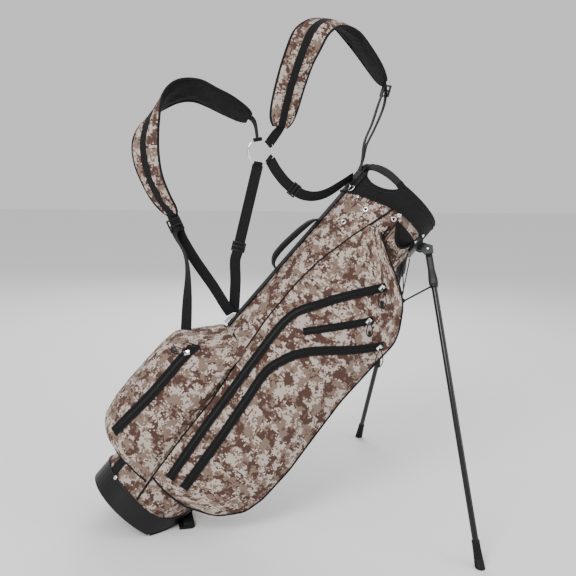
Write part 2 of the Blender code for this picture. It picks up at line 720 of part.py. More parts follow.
def on_face(x, z, lift):
    """Point this far off the near pocket's face, with the face's outward normal."""
    step = 0.004
    here = Vector((x, face_y(x, z), z))
    across = Vector((x + step, face_y(x + step, z), z)) - Vector((x - step, face_y(x - step, z), z))
    along = Vector((x, face_y(x, z + step), z + step)) - Vector((x, face_y(x, z - step), z - step))
    normal = across.cross(along).normalized()
    if normal.y > 0:
        normal = -normal
    return here + normal * lift, normal


def zip_frames(route, lift):
    """Stations of a zip on the pocket face: point, width direction and normal."""
    spots = catmull([Vector((x, 0, z)) for x, z in route], 3)
    placed = [on_face(p.x, p.z, lift) for p in spots]
    out = []
    for i, (point, normal) in enumerate(placed):
        ahead = placed[min(i + 1, len(placed) - 1)][0]
        behind = placed[max(i - 1, 0)][0]
        side = (ahead - behind).cross(normal).normalized()
        out.append((point, side, normal))
    return out


def zip_tape(name, stations, width=ZIP_W, thickness=0.0016):
    rings = []
    for point, side, normal in stations:
        a, b = side * width / 2, normal * thickness / 2
        rings.append([point + a + b, point - a + b, point - a - b, point + a - b])
    finish_mesh(name, loft(rings), ZIP_TAPE, BAG)


DOWN = Vector((math.sin(LEAN), 0, -math.cos(LEAN)))


def slider_and_pull(name, point, normal, travel, hang=DOWN, size=0.030):
    """A zip slider on the tape and the cord loop that hangs from it."""
    along = travel.normalized()
    side = along.cross(normal).normalized()
    lift = point + normal * 0.0034
    turn = Matrix((along, side, normal)).transposed().to_4x4()
    body = box((0.012, 0.009, 0.0044), (0, 0, 0), turn)
    slider = finish_mesh("slider_" + name, body, CHROME, BAG, location=lift)
    bevel(slider, 0.0010)
    fall = (hang - normal * hang.dot(normal)).normalized()
    swing = empty("pull_joint_" + name, BAG, lift + normal * 0.0040)
    out = fall.cross(normal).normalized()
    loop = []
    for k in range(16):
        a = 2 * math.pi * k / 16
        half = 0.27 * size * math.sin(a) * (0.5 - 0.5 * math.cos(a)) ** 0.5
        loop.append(fall * (size * (0.5 - 0.5 * math.cos(a))) + out * half)
    wire("pull_" + name, loop, PULL_R, ELASTIC, swing, cyclic=True, resolution=1)


def make_zips():
    zip_tape("zip_upper", zip_frames(ZIP_UPPER, ZIP_LIFT + 0.0008))
    zip_tape("zip_lower", zip_frames(ZIP_LOWER, ZIP_LIFT + 0.0008))
    zip_tape("zip_short", zip_frames(ZIP_SHORT, ZIP_LIFT + 0.0008), 0.015)
    top = ZIP_LIFT + 0.0016
    for name, route in (("upper", ZIP_UPPER), ("lower", ZIP_LOWER)):
        x, z = route[0][0] - 0.006, route[0][1] - 0.0075
        point, normal = on_face(x, z, top)
        ahead = Vector((route[1][0] - route[0][0], 0, route[1][1] - route[0][1])).normalized()
        slider_and_pull(name, point, normal, (ahead - normal * ahead.dot(normal)), size=0.040)
    x, z = ZIP_SHORT[-1][0] - 0.007, ZIP_SHORT[-1][1] - 0.0085
    point, normal = on_face(x, z, top)
    back = Vector((-0.044, 0, -0.054)).normalized()
    slider_and_pull("short", point, normal, back - normal * back.dot(normal), size=0.030)

    stations = []
    heights = (0.335, 0.310, 0.280, 0.240, 0.200, 0.160, 0.122)
    points = [0.5 * (ball_point(2, z) + ball_point(3, z)) for z in heights]
    for i, here in enumerate(points):
        normal = Vector((-0.55, -0.835, 0)).normalized()
        ahead = points[min(i + 1, len(points) - 1)] - points[max(i - 1, 0)]
        side = ahead.cross(normal).normalized()
        stations.append((here + normal * (ZIP_LIFT + 0.0010), side, normal))
    zip_tape("zip_ball", stations)
    start, side, normal = stations[0]
    travel = stations[1][0] - stations[0][0]
    slider_and_pull("ball", start + travel * 0.30 + normal * 0.0008, normal, travel,
                    hang=Vector((-0.9, -0.2, -0.35)), size=0.032)


# ---------------------------------------------------------------- harness and handle

PAD_LEFT = (
    ((-0.346, 0.000, 0.757), (0.13, 0.82, -0.56), 0.040),
    ((-0.389, 0.000, 0.747), (0.15, 0.81, -0.56), 0.054),
    ((-0.425, 0.000, 0.736), (0.17, 0.85, -0.50), 0.060),
    ((-0.456, 0.000, 0.724), (0.33, 0.81, -0.47), 0.062),
    ((-0.478, 0.002, 0.702), (0.50, 0.81, -0.31), 0.062),
    ((-0.487, 0.000, 0.672), (0.37, 0.91, -0.20), 0.062),
    ((-0.486, -0.008, 0.642), (0.00, 0.96, -0.28), 0.062),
    ((-0.479, -0.018, 0.612), (-0.36, 0.84, -0.39), 0.062),
    ((-0.464, -0.026, 0.583), (-0.51, 0.68, -0.52), 0.062),
    ((-0.440, -0.030, 0.558), (-0.46, 0.66, -0.59), 0.060),
    ((-0.410, -0.029, 0.538), (-0.39, 0.72, -0.57), 0.056),
    ((-0.373, -0.022, 0.522), (-0.35, 0.71, -0.61), 0.048),
    ((-0.334, -0.013, 0.513), (-0.31, 0.67, -0.68), 0.032),
)
PAD_RIGHT = (
    ((-0.289, -0.010, 0.787), (0.77, 0.32, 0.55), 0.048),
    ((-0.308, -0.018, 0.818), (0.82, 0.23, 0.52), 0.058),
    ((-0.334, -0.026, 0.866), (0.87, 0.20, 0.44), 0.061),
    ((-0.356, -0.030, 0.918), (0.93, 0.10, 0.33), 0.062),
    ((-0.365, -0.022, 0.965), (0.85, -0.50, 0.25), 0.062),
    ((-0.355, -0.002, 1.003), (0.66, -0.74, 0.12), 0.062),
    ((-0.328, 0.016, 1.026), (0.34, -0.93, 0.05), 0.062),
    ((-0.293, 0.024, 1.033), (0.08, -0.98, 0.17), 0.062),
    ((-0.253, 0.024, 1.029), (-0.04, -0.98, 0.22), 0.058),
    ((-0.214, 0.018, 1.020), (-0.12, -0.96, 0.27), 0.050),
    ((-0.184, 0.010, 1.010), (-0.15, -0.94, 0.31), 0.034),
)
PAD_T = 0.012
RING_CENTRE = Vector((-0.286, -0.005, 0.723))
RING_R = 0.024
RING_WIRE = 0.0019


def make_pad(name, stations):
    """A padded shoulder strap: an oval section that narrows at both ends."""
    points = catmull([s[0] for s in stations], 2)
    sides = catmull([s[1] for s in stations], 2)
    widths = catmull([(s[2], 0, 0) for s in stations], 2)
    rings = []
    for (point, side, normal), width in zip(frames(points, sides), widths):
        thick = PAD_T * min(1.0, 0.45 + width.x / 0.09)
        ring = []
        for i in range(10):
            a = math.radians(18 + 36 * i)
            c, s = math.cos(a), math.sin(a)
            ring.append(point + side * (width.x / 2 * math.copysign(abs(c) ** 0.7, c))
                        + normal * (thick / 2 * s))
        rings.append(ring)
    finish_mesh(name, loft(rings), CAMO, BAG)


def make_ring():
    """The steel ring stands in the X-Z plane where the harness straps meet."""
    circle = []
    for k in range(24):
        a = 2 * math.pi * k / 24
        circle.append((RING_R * math.cos(a), 0, RING_R * math.sin(a)))
    wire("centre_ring", circle, RING_WIRE, CHROME, BAG, cyclic=True, location=RING_CENTRE)


def make_harness():
    make_pad("shoulder_pad_left", PAD_LEFT)
    make_pad("shoulder_pad_right", PAD_RIGHT)
    make_ring()
    flat, deep = Vector((0.55, 0.25, 0.8)), Vector((0.2, 0.9, -0.3))
    rim = RING_R + RING_WIRE + 0.0012
    left = RING_CENTRE + Vector((-0.80, 0, 0.60)) * rim
    up = RING_CENTRE + Vector((0.12, 0, 0.99)) * rim
    down = RING_CENTRE + Vector((0.55, 0, -0.835)) * rim
    right = RING_CENTRE + Vector((0.995, 0, 0.08)) * rim
    strap("pad_tab_left", [(-0.3385, 0.0, 0.7605), (-0.325, 0.0, 0.755), left],
          [deep, deep, deep], 0.020, WEBBING)
    strap("pad_tab_right", [(-0.2860, -0.0085, 0.7815), (-0.2850, -0.007, 0.768), up],
          [flat, Vector((0.9, 0.2, 0.3)), Vector((1, 0.2, 0))], 0.020, WEBBING)
    spine_end = Vector((-0.1085, -0.008, 0.447))
    bend = Vector((-0.1860, -0.010, 0.540))
    straight = [down.lerp(bend, t) for t in (0.0, 0.35, 0.65, 0.86, 1.0, 1.1)]
    side = Vector((0.9, -0.3, 0.5))
    strap("web_spine", straight + [(-0.148, -0.010, 0.492), spine_end], [side] * 8, 0.022, WEBBING)
    ladder_slider("ladder_slider", down.lerp(bend, 0.93), (bend - down).normalized(), side)
    strap("web_collar", [right, (-0.236, -0.016, 0.716), (-0.205, -0.022, 0.711), (-0.172, -0.028, 0.714),
                         (-0.148, -0.028, 0.728), (-0.130, -0.022, 0.752), (-0.1175, -0.014, 0.785),
                         (-0.1080, -0.008, 0.820)],
          [Vector((0.1, -0.3, 1))] * 4 + [Vector((0.1, -0.7, 0.7)), Vector((0.1, -1, 0.3)),
                                         Vector((0.1, -1, 0)), Vector((0.1, -1, 0))], 0.022, WEBBING)
    strap("web_left", [(-0.3050, -0.010, 0.4975), (-0.286, -0.010, 0.488), (-0.240, -0.010, 0.473),
                       (-0.178, -0.010, 0.457), (-0.130, -0.014, 0.440)],
          [Vector((0.1, -0.3, 1))] * 5, 0.022, WEBBING)
    strap("web_left_tail", [(-0.3020, -0.0145, 0.4830), (-0.268, -0.028, 0.470), (-0.238, -0.034, 0.444),
                            (-0.200, -0.035, 0.398), (-0.166, -0.032, 0.356)],
          [Vector((0.1, -1, 0.3)), Vector((0.1, -1, 0.2)), Vector((0.2, -0.9, 0.3)),
           Vector((0.6, -0.6, 0.5)), Vector((0.7, -0.3, 0.5))], 0.022, WEBBING)
    buckle("buckle_left", Vector((-0.3165, -0.0115, 0.5005)), Vector((0.90, 0.02, -0.40)),
           Vector((0.1, -0.3, 1)))
    strap("web_right_a", [(-0.1600, 0.0105, 0.992), (-0.146, 0.012, 0.965), (-0.133, 0.012, 0.925),
                          (-0.124, 0.010, 0.890), (-0.1100, 0.006, 0.8595)],
          [Vector((0.5, -0.8, 0.2))] * 5, 0.018, WEBBING)
    strap("web_right_b", [(-0.1720, 0.0060, 0.987), (-0.163, 0.004, 0.965), (-0.148, 0.000, 0.928),
                          (-0.136, -0.004, 0.890), (-0.1160, -0.006, 0.8605)],
          [Vector((0.5, -0.8, 0.2))] * 5, 0.018, WEBBING)
    buckle("buckle_right", Vector((-0.1700, 0.0095, 1.0000)), Vector((0.45, 0.05, -0.89)),
           Vector((0.2, -0.8, 0.1)))
    snap = box((0.007, 0.012, 0.026), (-0.1070, -0.006, 0.4290),
               Matrix.Rotation(math.radians(10), 4, "Y"))
    bevel(finish_mesh("snap_clip", snap, CHROME, BAG), 0.0015)


def buckle(name, centre, along, side):
    """A pad-end buckle: a plain bevelled block across the webbing."""
    along.normalize()
    side = (side - along * side.dot(along)).normalized()
    normal = along.cross(side)
    turn = Matrix((along, side, normal)).transposed().to_4x4()
    block = box((0.016, 0.028, 0.008), (0, 0, 0), turn)
    bevel(finish_mesh(name, block, BLACK_PLASTIC, BAG, location=centre), 0.0015)


def ladder_slider(name, centre, along, side):
    """A flat frame round the webbing, free to slide along it."""
    side = (side - along * side.dot(along)).normalized()
    normal = side.cross(along)
    turn = Matrix((along, side, normal)).transposed().to_4x4()
    block = box((0.020, 0.028, 0.0056), (0, 0, 0), turn)
    frame = finish_mesh(name, block, BLACK_PLASTIC, BAG, location=centre)
    window = box((0.05, 0.0230, 0.0030), (0, 0, 0), turn)
    bmesh.ops.translate(window, vec=centre, verts=window.verts)
    boolean(frame, cutter("slider_window", window, BAG))


def make_spine_handle():
    """A padded grip that stands off the spine, on a strap sewn at both ends."""
    route = [(-0.1010, 0.0, 0.706), (-0.1085, -0.001, 0.694), (-0.1145, -0.003, 0.672),
             (-0.1190, -0.004, 0.640), (-0.1215, -0.004, 0.610), (-0.1200, -0.003, 0.588),
             (-0.1125, -0.001, 0.574), (-0.1010, 0.0, 0.568)]
    thick = (0.0016, 0.006, 0.010, 0.011, 0.011, 0.010, 0.004, 0.0016)
    points = catmull(route, 2)
    sides = [Vector((0, 1, 0))] * len(points)
    depths = catmull([(t, 0, 0) for t in thick], 2)
    rings = []
    for (point, side, normal), depth in zip(frames(points, sides), depths):
        ring = []
        for i in range(8):
            a = math.radians(22.5 + 45 * i)
            ring.append(point + side * (0.0118 * math.cos(a)) + normal * (depth.x / 2 * math.sin(a)))
        rings.append(ring)
    finish_mesh("spine_handle", loft(rings), GRIP, BAG)


clear_scene()
PARTS = new_collection("golf_stand_bag")
CUTTERS = new_collection("cutters")
CAMO = material("camo_fabric", (0.42, 0.33, 0.28), 0.9)
BLACK_FABRIC = material("black_fabric", (0.02, 0.02, 0.022), 0.9)
WEBBING = material("black_webbing", (0.015, 0.015, 0.017), 0.85)
ZIP_TAPE = material("zip_tape", (0.02, 0.02, 0.022), 0.75)
GRIP = material("grip_fabric", (0.06, 0.06, 0.065), 0.85)
FOAM = material("divider_foam", (0.03, 0.03, 0.032), 0.95)
BLACK_PLASTIC = material("black_plastic", (0.02, 0.02, 0.022), 0.45)
DARK_PLASTIC = material("dark_plastic", (0.07, 0.07, 0.08), 0.4)
BLACK_RUBBER = material("black_rubber", (0.015, 0.015, 0.015), 0.8)
ELASTIC = material("elastic_cord", (0.015, 0.015, 0.015), 0.8)
GRAPHITE = material("graphite_tube", (0.03, 0.03, 0.033), 0.2, 0.5)
BLACK_STEEL = material("black_steel", (0.02, 0.02, 0.02), 0.35, 0.6)
STEEL = material("plain_steel", (0.55, 0.55, 0.56), 0.35, 1.0)
CHROME = material("chrome", (0.8, 0.8, 0.82), 0.12, 1.0)

ROW = empty("golf_stand_bag")
BAG = empty("bag_axis", ROW, BAG_ORIGIN, Quaternion((0, 1, 0), LEAN))

make_boot()
make_heel_plate()
make_tube()
make_collar()
make_lift_handle()
make_dividers()
make_housing()
make_leg("near", 1)
make_leg("far", -1)
make_linkage()
make_return_cords()
make_side_pockets()
make_ball_pocket()
make_bottle_sleeve()
make_zips()
make_harness()
make_spine_handle()
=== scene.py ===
"""Looks for the golf stand bag: cloth, webbing, zips and finishes around the CAD frame."""
import json
import math

import bmesh
import bpy
from mathutils import Matrix, Vector, noise


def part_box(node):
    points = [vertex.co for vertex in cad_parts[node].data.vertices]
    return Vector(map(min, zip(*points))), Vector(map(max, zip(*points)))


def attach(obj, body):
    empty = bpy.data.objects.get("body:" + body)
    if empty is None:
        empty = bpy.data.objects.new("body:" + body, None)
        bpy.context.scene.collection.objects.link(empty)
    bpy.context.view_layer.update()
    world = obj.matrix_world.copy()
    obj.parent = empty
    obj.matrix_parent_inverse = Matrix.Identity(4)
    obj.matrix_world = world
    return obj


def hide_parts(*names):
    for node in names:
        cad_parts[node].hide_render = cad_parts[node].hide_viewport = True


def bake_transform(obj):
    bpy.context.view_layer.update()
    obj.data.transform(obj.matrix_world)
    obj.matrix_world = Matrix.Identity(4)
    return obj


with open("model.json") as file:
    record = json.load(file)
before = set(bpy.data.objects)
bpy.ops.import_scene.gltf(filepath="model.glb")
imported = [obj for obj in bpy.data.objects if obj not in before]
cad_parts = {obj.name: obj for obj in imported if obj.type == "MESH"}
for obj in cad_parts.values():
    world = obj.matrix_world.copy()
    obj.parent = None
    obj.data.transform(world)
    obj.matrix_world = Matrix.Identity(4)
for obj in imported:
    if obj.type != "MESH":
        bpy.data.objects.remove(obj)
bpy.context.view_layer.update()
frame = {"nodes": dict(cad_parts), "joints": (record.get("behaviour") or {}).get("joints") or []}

# The bag's own axes: +Z up the club tube, +X the underside, -X the spine, -Y the zipped side.
LEAN = math.radians(41.1)
HEEL_X = 0.040
ORIGIN_SHIFT = 0.040
BAG = (Matrix.Translation((-HEEL_X * math.cos(LEAN) - ORIGIN_SHIFT, 0, HEEL_X * math.sin(LEAN)))
       @ Matrix.Rotation(LEAN, 4, "Y"))
BAG_TURN = BAG.to_3x3()
TUBE_R = 0.0965
TUBE_LOW, TUBE_TOP = 0.0135, 0.822
RIM_R, RIM_Z = 0.101, 0.862
WEBBING_T = 0.0018
STITCH_PITCH = 0.0034


# ---------------------------------------------------------------- camera, floor and light

def aim_camera():
    """The picture's view: a little above the bag, turned slightly, with a small roll."""
    azimuth, elevation, roll = math.radians(-14.29), math.radians(9.33), math.radians(1.26)
    back = Vector((math.sin(azimuth) * math.cos(elevation),
                   -math.cos(azimuth) * math.cos(elevation), math.sin(elevation)))
    right = Vector((math.cos(azimuth), math.sin(azimuth), 0))
    up = back.cross(right)
    across = math.cos(roll) * right + math.sin(roll) * up
    upward = -math.sin(roll) * right + math.cos(roll) * up
    lens = bpy.data.cameras.new("camera")
    lens.lens = 42.9
    camera = bpy.data.objects.new("camera", lens)
    bpy.context.scene.collection.objects.link(camera)
    place = Matrix((across, upward, back)).transposed().to_4x4()
    camera.matrix_world = Matrix.Translation((-0.0964, -1.3817, 0.7134)) @ place
    bpy.context.scene.camera = camera


def area_light(name, place, target, size, power):
    lamp = bpy.data.lights.new(name, "AREA")
    lamp.size = size
    lamp.energy = power
    light = bpy.data.objects.new(name, lamp)
    bpy.context.scene.collection.objects.link(light)
    light.location = place
    light.rotation_euler = (Vector(target) - Vector(place)).to_track_quat("-Z", "Y").to_euler()


def make_stage():
    bpy.ops.mesh.primitive_plane_add(size=24, location=(0, 0, -0.0006))
    floor = bpy.context.object
    floor.name = "floor"
    floor.data.materials.append(plain_material("floor_paper", (0.88, 0.88, 0.88), 0.9))
    world = bpy.data.worlds.new("studio")
    world.use_nodes = True
    world.node_tree.nodes["Background"].inputs[0].default_value = (1, 1, 1, 1)
    world.node_tree.nodes["Background"].inputs[1].default_value = 0.80
    bpy.context.scene.world = world
    area_light("key", (-1.5, -1.9, 2.3), (0.15, 0, 0.4), 1.3, 75)
    area_light("fill", (2.2, -1.4, 1.3), (0.2, 0, 0.4), 1.4, 16)
    area_light("back", (0.6, 2.2, 2.0), (0.2, 0, 0.4), 1.8, 40)


# ---------------------------------------------------------------- materials

def new_material(name):
    made = bpy.data.materials.new(name)
    made.use_nodes = True
    return made, made.node_tree, made.node_tree.nodes["Principled BSDF"]


def plain_material(name, colour, roughness):
    made, _, shader = new_material(name)
    shader.inputs["Base Color"].default_value = (*colour, 1)
    shader.inputs["Roughness"].default_value = roughness
    return made


def add(tree, kind, **settings):
    """A node whose attributes or named inputs are set from the keywords."""
    node = tree.nodes.new(kind)
    for key, value in settings.items():
        if hasattr(node, key):
            setattr(node, key, value)
        else:
            node.inputs[key.replace("_", " ")].default_value = value
    return node


def math_node(tree, operation, first, second):
    node = add(tree, "ShaderNodeMath", operation=operation)
    for slot, value in zip(node.inputs, (first, second)):
        if isinstance(value, (int, float)):
            slot.default_value = value
        else:
            tree.links.new(value, slot)
    return node.outputs[0]


def cloth_coordinates(tree):
    """Cloth coordinates in metres, laid on each piece along its own weave."""
    return add(tree, "ShaderNodeUVMap", uv_map="cloth").outputs[0]


def noise_value(tree, vector, scale, detail=2.0, roughness=0.5, shift=0.0):
    moved = add(tree, "ShaderNodeVectorMath", operation="ADD")
    tree.links.new(vector, moved.inputs[0])
    moved.inputs[1].default_value = (shift, shift * 0.37, 0)
    made = add(tree, "ShaderNodeTexNoise", Scale=scale, Detail=detail, Roughness=roughness)
    tree.links.new(moved.outputs[0], made.inputs["Vector"])
    return made.outputs[0]


def mixed_colour(tree, factor, first, second):
    node = add(tree, "ShaderNodeMix", data_type="RGBA")
    tree.links.new(factor, node.inputs[0])
    for slot, value in ((node.inputs[6], first), (node.inputs[7], second)):
        if isinstance(value, tuple):
            slot.default_value = (*value, 1)
        else:
            tree.links.new(value, slot)
    return node.outputs[2]


def weave_height(tree, vector, pitch):
    """Plain weave: threads of both directions passing over and under each other."""
    split = add(tree, "ShaderNodeSeparateXYZ")
    tree.links.new(vector, split.inputs[0])
    waves = []
    for i in (0, 1):
        phase = math_node(tree, "MULTIPLY", split.outputs[i], math.tau / pitch)
        waves.append(math_node(tree, "SINE", phase, 0))
    return math_node(tree, "MULTIPLY", *waves)


def bump(tree, shader, height, strength, distance):
    node = add(tree, "ShaderNodeBump", Strength=strength, Distance=distance)
    tree.links.new(height, node.inputs["Height"])
    tree.links.new(node.outputs[0], shader.inputs["Normal"])


def camo_material():
    """Printed desert cloth: three tones in ragged square cells, over a fine weave."""
    made, tree, shader = new_material("camo_cloth")
    vector = cloth_coordinates(tree)
    cells = add(tree, "ShaderNodeVectorMath", operation="SNAP")
    tree.links.new(vector, cells.inputs[0])
    cells.inputs[1].default_value = (0.0027, 0.0027, 0.0027)
    spots = cells.outputs[0]
    taupe = math_node(tree, "GREATER_THAN", noise_value(tree, spots, 42, 5.0, 0.72, 1.7), 0.498)
    brown = math_node(tree, "GREATER_THAN", noise_value(tree, spots, 38, 5.0, 0.72, 5.3), 0.528)
    fleck = math_node(tree, "GREATER_THAN", noise_value(tree, spots, 130, 1.0, 0.5, 9.1), 0.63)
    base = mixed_colour(tree, taupe, (0.520, 0.440, 0.385), (0.225, 0.155, 0.122))
    base = mixed_colour(tree, brown, base, (0.074, 0.034, 0.025))
    base = mixed_colour(tree, fleck, base, (0.150, 0.092, 0.070))
    tone = noise_value(tree, vector, 900, 2.0)
    base = mixed_colour(tree, math_node(tree, "MULTIPLY", tone, 0.25), base, (0.10, 0.075, 0.06))
    tree.links.new(base, shader.inputs["Base Color"])
    shader.inputs["Roughness"].default_value = 0.82
    shader.inputs["Specular IOR Level"].default_value = 0.25
    bump(tree, shader, weave_height(tree, vector, 0.0009), 0.35, 0.0003)
    return made


def cloth_material(name, colour, lighter, pitch, sheen=0.02, roughness=0.80):
    """Plain dyed cloth: worn a little lighter in patches, with its weave."""
    made, tree, shader = new_material(name)
    vector = cloth_coordinates(tree)
    worn = noise_value(tree, vector, 60, 4.0, 0.6)
    fine = noise_value(tree, vector, 1100, 1.0)
    shade = math_node(tree, "MULTIPLY", worn, fine)
    tree.links.new(mixed_colour(tree, shade, colour, lighter), shader.inputs["Base Color"])
    shader.inputs["Roughness"].default_value = roughness
    shader.inputs["Sheen Weight"].default_value = sheen
    shader.inputs["Specular IOR Level"].default_value = 0.22
    bump(tree, shader, weave_height(tree, vector, pitch), 0.5, 0.0004)
    return made


def solid_material(name, colour, roughness, metallic=0.0, grain=0.1, grain_scale=700, coat=0.0):
    """Moulded or metal finish: scuffed a little, with a fine grain in its gloss."""
    made, tree, shader = new_material(name)
    place = add(tree, "ShaderNodeTexCoord").outputs["Object"]
    fine = noise_value(tree, place, grain_scale, 3.0)
    broad = noise_value(tree, place, 22, 4.0, 0.65)
    lighter = tuple(min(1.0, c * 1.6 + 0.003) for c in colour)
    tree.links.new(mixed_colour(tree, math_node(tree, "MULTIPLY", broad, fine), colour, lighter),
                   shader.inputs["Base Color"])
    spread = math_node(tree, "MULTIPLY", math_node(tree, "SUBTRACT", broad, 0.5), 0.25)
    tree.links.new(math_node(tree, "ADD", spread, roughness), shader.inputs["Roughness"])
    shader.inputs["Metallic"].default_value = metallic
    shader.inputs["Coat Weight"].default_value = coat
    shader.inputs["Coat Roughness"].default_value = 0.06
    shader.inputs["Specular IOR Level"].default_value = 0.5 if metallic > 0.5 else 0.28
    if grain:
        bump(tree, shader, fine, grain, 0.0003)
    return made


CAMO = camo_material()
BLACK_CLOTH = cloth_material("black_cloth", (0.0035, 0.0035, 0.0040), (0.016, 0.016, 0.017), 0.0011)
WEBBING = cloth_material("black_webbing_cloth", (0.0030, 0.0030, 0.0034), (0.016, 0.016, 0.017),
                         0.0016)
ZIP_CLOTH = cloth_material("zip_cloth", (0.0030, 0.0030, 0.0034), (0.012, 0.012, 0.013), 0.0008)
GRIP_CLOTH = cloth_material("grip_cloth", (0.014, 0.014, 0.016), (0.042, 0.042, 0.046), 0.0012)
FOAM_CLOTH = cloth_material("divider_cloth", (0.008, 0.008, 0.009), (0.030, 0.030, 0.032),
                            0.0010, 0.2)
THREAD = cloth_material("thread", (0.012, 0.012, 0.013), (0.050, 0.050, 0.052), 0.0004)
BRAID = cloth_material("braided_cord", (0.004, 0.004, 0.0045), (0.025, 0.025, 0.026), 0.0007)
PLASTIC = solid_material("moulded_black", (0.0045, 0.0045, 0.0050), 0.40)
GREY_PLASTIC = solid_material("moulded_grey", (0.012, 0.0125, 0.014), 0.36)
RUBBER = solid_material("moulded_rubber", (0.004, 0.004, 0.004), 0.66, grain=0.2)
GRAPHITE = solid_material("graphite_gloss", (0.003, 0.003, 0.0034), 0.30, 0.1, grain=0.0, coat=0.4)
BLACK_METAL = solid_material("coated_steel", (0.004, 0.004, 0.004), 0.34, 0.2, grain=0.05)
BARE_METAL = solid_material("bare_steel", (0.55, 0.55, 0.56), 0.32, 1.0, grain=0.05)
BRIGHT_METAL = solid_material("bright_chrome", (0.80, 0.80, 0.82), 0.10, 1.0, grain=0.0)
# Painted shade: the dark matte finish of discs that stand in for the eyelets' open holes, the bag's
# shaded inside.
HOLE_SHADE = solid_material("eyelet_hole_shade", (0.004, 0.004, 0.004), 0.9)


# ---------------------------------------------------------------- shape helpers

def turns(count):
    """Angles of this many equal steps round a circle."""
    return [math.tau * k / count for k in range(count)]


def interpolate(table, x):
    """Value between the rows of a table of (x, value) that rises in x."""
    if x <= table[0][0]:
        return table[0][1]
    for (x0, v0), (x1, v1) in zip(table, table[1:]):
        if x <= x1:
            return v0 + (v1 - v0) * (x - x0) / (x1 - x0)
    return table[-1][1]


def smooth(table, x):
    """As interpolate, on a smooth curve through the table's rows."""
    reach = 0.006
    return sum(interpolate(table, x + reach * k) for k in (-2, -1, 0, 1, 2)) / 5


def catmull(values, steps):
    """A smooth run of vectors through the given ones."""
    values = [Vector(v) for v in values]
    padded = [2 * values[0] - values[1]] + values + [2 * values[-1] - values[-2]]
    run = []
    for i in range(1, len(padded) - 2):
        a, b, c, d = padded[i - 1:i + 3]
        for k in range(steps):
            t = k / steps
            run.append(0.5 * (2 * b + (c - a) * t + (2 * a - 5 * b + 4 * c - d) * t ** 2
                              + (3 * b - a - 3 * c + d) * t ** 3))
    run.append(values[-1])
    return run


def frames(points, sides):
    """Point, width direction and face normal at each point of a strap."""
    out = []
    for i, point in enumerate(points):
        ahead = points[min(i + 1, len(points) - 1)]
        behind = points[max(i - 1, 0)]
        along = (ahead - behind).normalized()
        side = (sides[i] - along * sides[i].dot(along)).normalized()
        out.append((point, side, side.cross(along)))
    return out


def to_row(rows):
    return [[BAG @ Vector(p) for p in row] for row in rows]


def mesh_piece(name, bm, finish, body="bag", replaces=()):
    """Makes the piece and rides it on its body."""
    mesh = bpy.data.meshes.new(name)
    bm.to_mesh(mesh)
    bm.free()
    mesh.shade_smooth()
    mesh.set_sharp_from_angle(angle=math.radians(40))
    mesh.materials.append(finish)
    piece = bpy.data.objects.new(name, mesh)
    bpy.context.scene.collection.objects.link(piece)
    if body:
        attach(piece, body)
    if replaces:
        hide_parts(*replaces)
    return piece


def grid_bmesh(rows, closed=False, capped=False, into=None):
    """A skin through rows of points, with cloth coordinates by arc length in metres."""
    bm = into or bmesh.new()
    layer = bm.loops.layers.uv.get("cloth") or bm.loops.layers.uv.new("cloth")
    width = len(rows[0])
    columns = width + 1 if closed else width
    across = [0.0]
    for k in range(1, columns):
        step = sum((row[k % width] - row[k - 1]).length for row in rows) / len(rows)
        across.append(across[-1] + step)
    verts = [[bm.verts.new(p) for p in row] for row in rows]
    height = 0.0
    for i in range(len(rows) - 1):
        rise = sum((a - b).length for a, b in zip(rows[i], rows[i + 1])) / width
        for k in range(columns - 1):
            j = (k + 1) % width
            face = bm.faces.new((verts[i][k], verts[i][j], verts[i + 1][j], verts[i + 1][k]))
            corners = ((across[k], height), (across[k + 1], height),
                       (across[k + 1], height + rise), (across[k], height + rise))
            for loop, corner in zip(face.loops, corners):
                loop[layer].uv = corner
        height += rise
    if capped:
        for ring in (verts[0][::-1], verts[-1]):
            for loop in bm.faces.new(ring).loops:
                loop[layer].uv = loop.vert.co.xz
    return bm


def skin(name, rows, finish, closed=False, capped=False, **kinds):
    bm = grid_bmesh(to_row(rows), closed, capped)
    bmesh.ops.recalc_face_normals(bm, faces=bm.faces)
    return mesh_piece(name, bm, finish, **kinds)


def round_rings(points, radius, sides, cyclic):
    """Circles round a path, which do not twist along it."""
    count = len(points)
    normal = (points[1] - points[0]).normalized().orthogonal().normalized()
    rings = []
    for i, point in enumerate(points):
        if cyclic:
            ahead, behind = points[(i + 1) % count], points[i - 1]
        else:
            ahead, behind = points[min(i + 1, count - 1)], points[max(i - 1, 0)]
        along = (ahead - behind).normalized()
        normal = (normal - along * normal.dot(along)).normalized()
        other = along.cross(normal)
        rings.append([point + radius * (math.cos(a) * normal + math.sin(a) * other)
                      for a in turns(sides)])
    return rings


def cord(name, points, radius, finish, sides=12, cyclic=False, row=False, **kinds):
    """A round cord, wire or piping along points given in the bag's axes."""
    points = [Vector(p) for p in points]
    if not row:
        points = [BAG @ p for p in points]
    rings = round_rings(points, radius, sides, cyclic)
    if cyclic:
        rings.append(rings[0])
    bm = grid_bmesh(rings, closed=True, capped=not cyclic)
    if cyclic:
        bmesh.ops.remove_doubles(bm, verts=bm.verts, dist=1e-6)
    bmesh.ops.recalc_face_normals(bm, faces=bm.faces)
    return mesh_piece(name, bm, finish, **kinds)


def ribbon_rings(stations, width, thickness):
    """Sections of flat webbing with rounded selvedges."""
    rings = []
    for point, side, normal in stations:
        ring = []
        for k in range(20):
            a = math.tau * (k + 0.5) / 20
            c, s = math.cos(a), math.sin(a)
            reach = width / 2 * math.copysign(abs(c) ** 0.35, c)
            lift = thickness / 2 * math.copysign(abs(s) ** 0.6, s)
            ring.append(point + side * reach + normal * lift)
        rings.append(ring)
    return rings


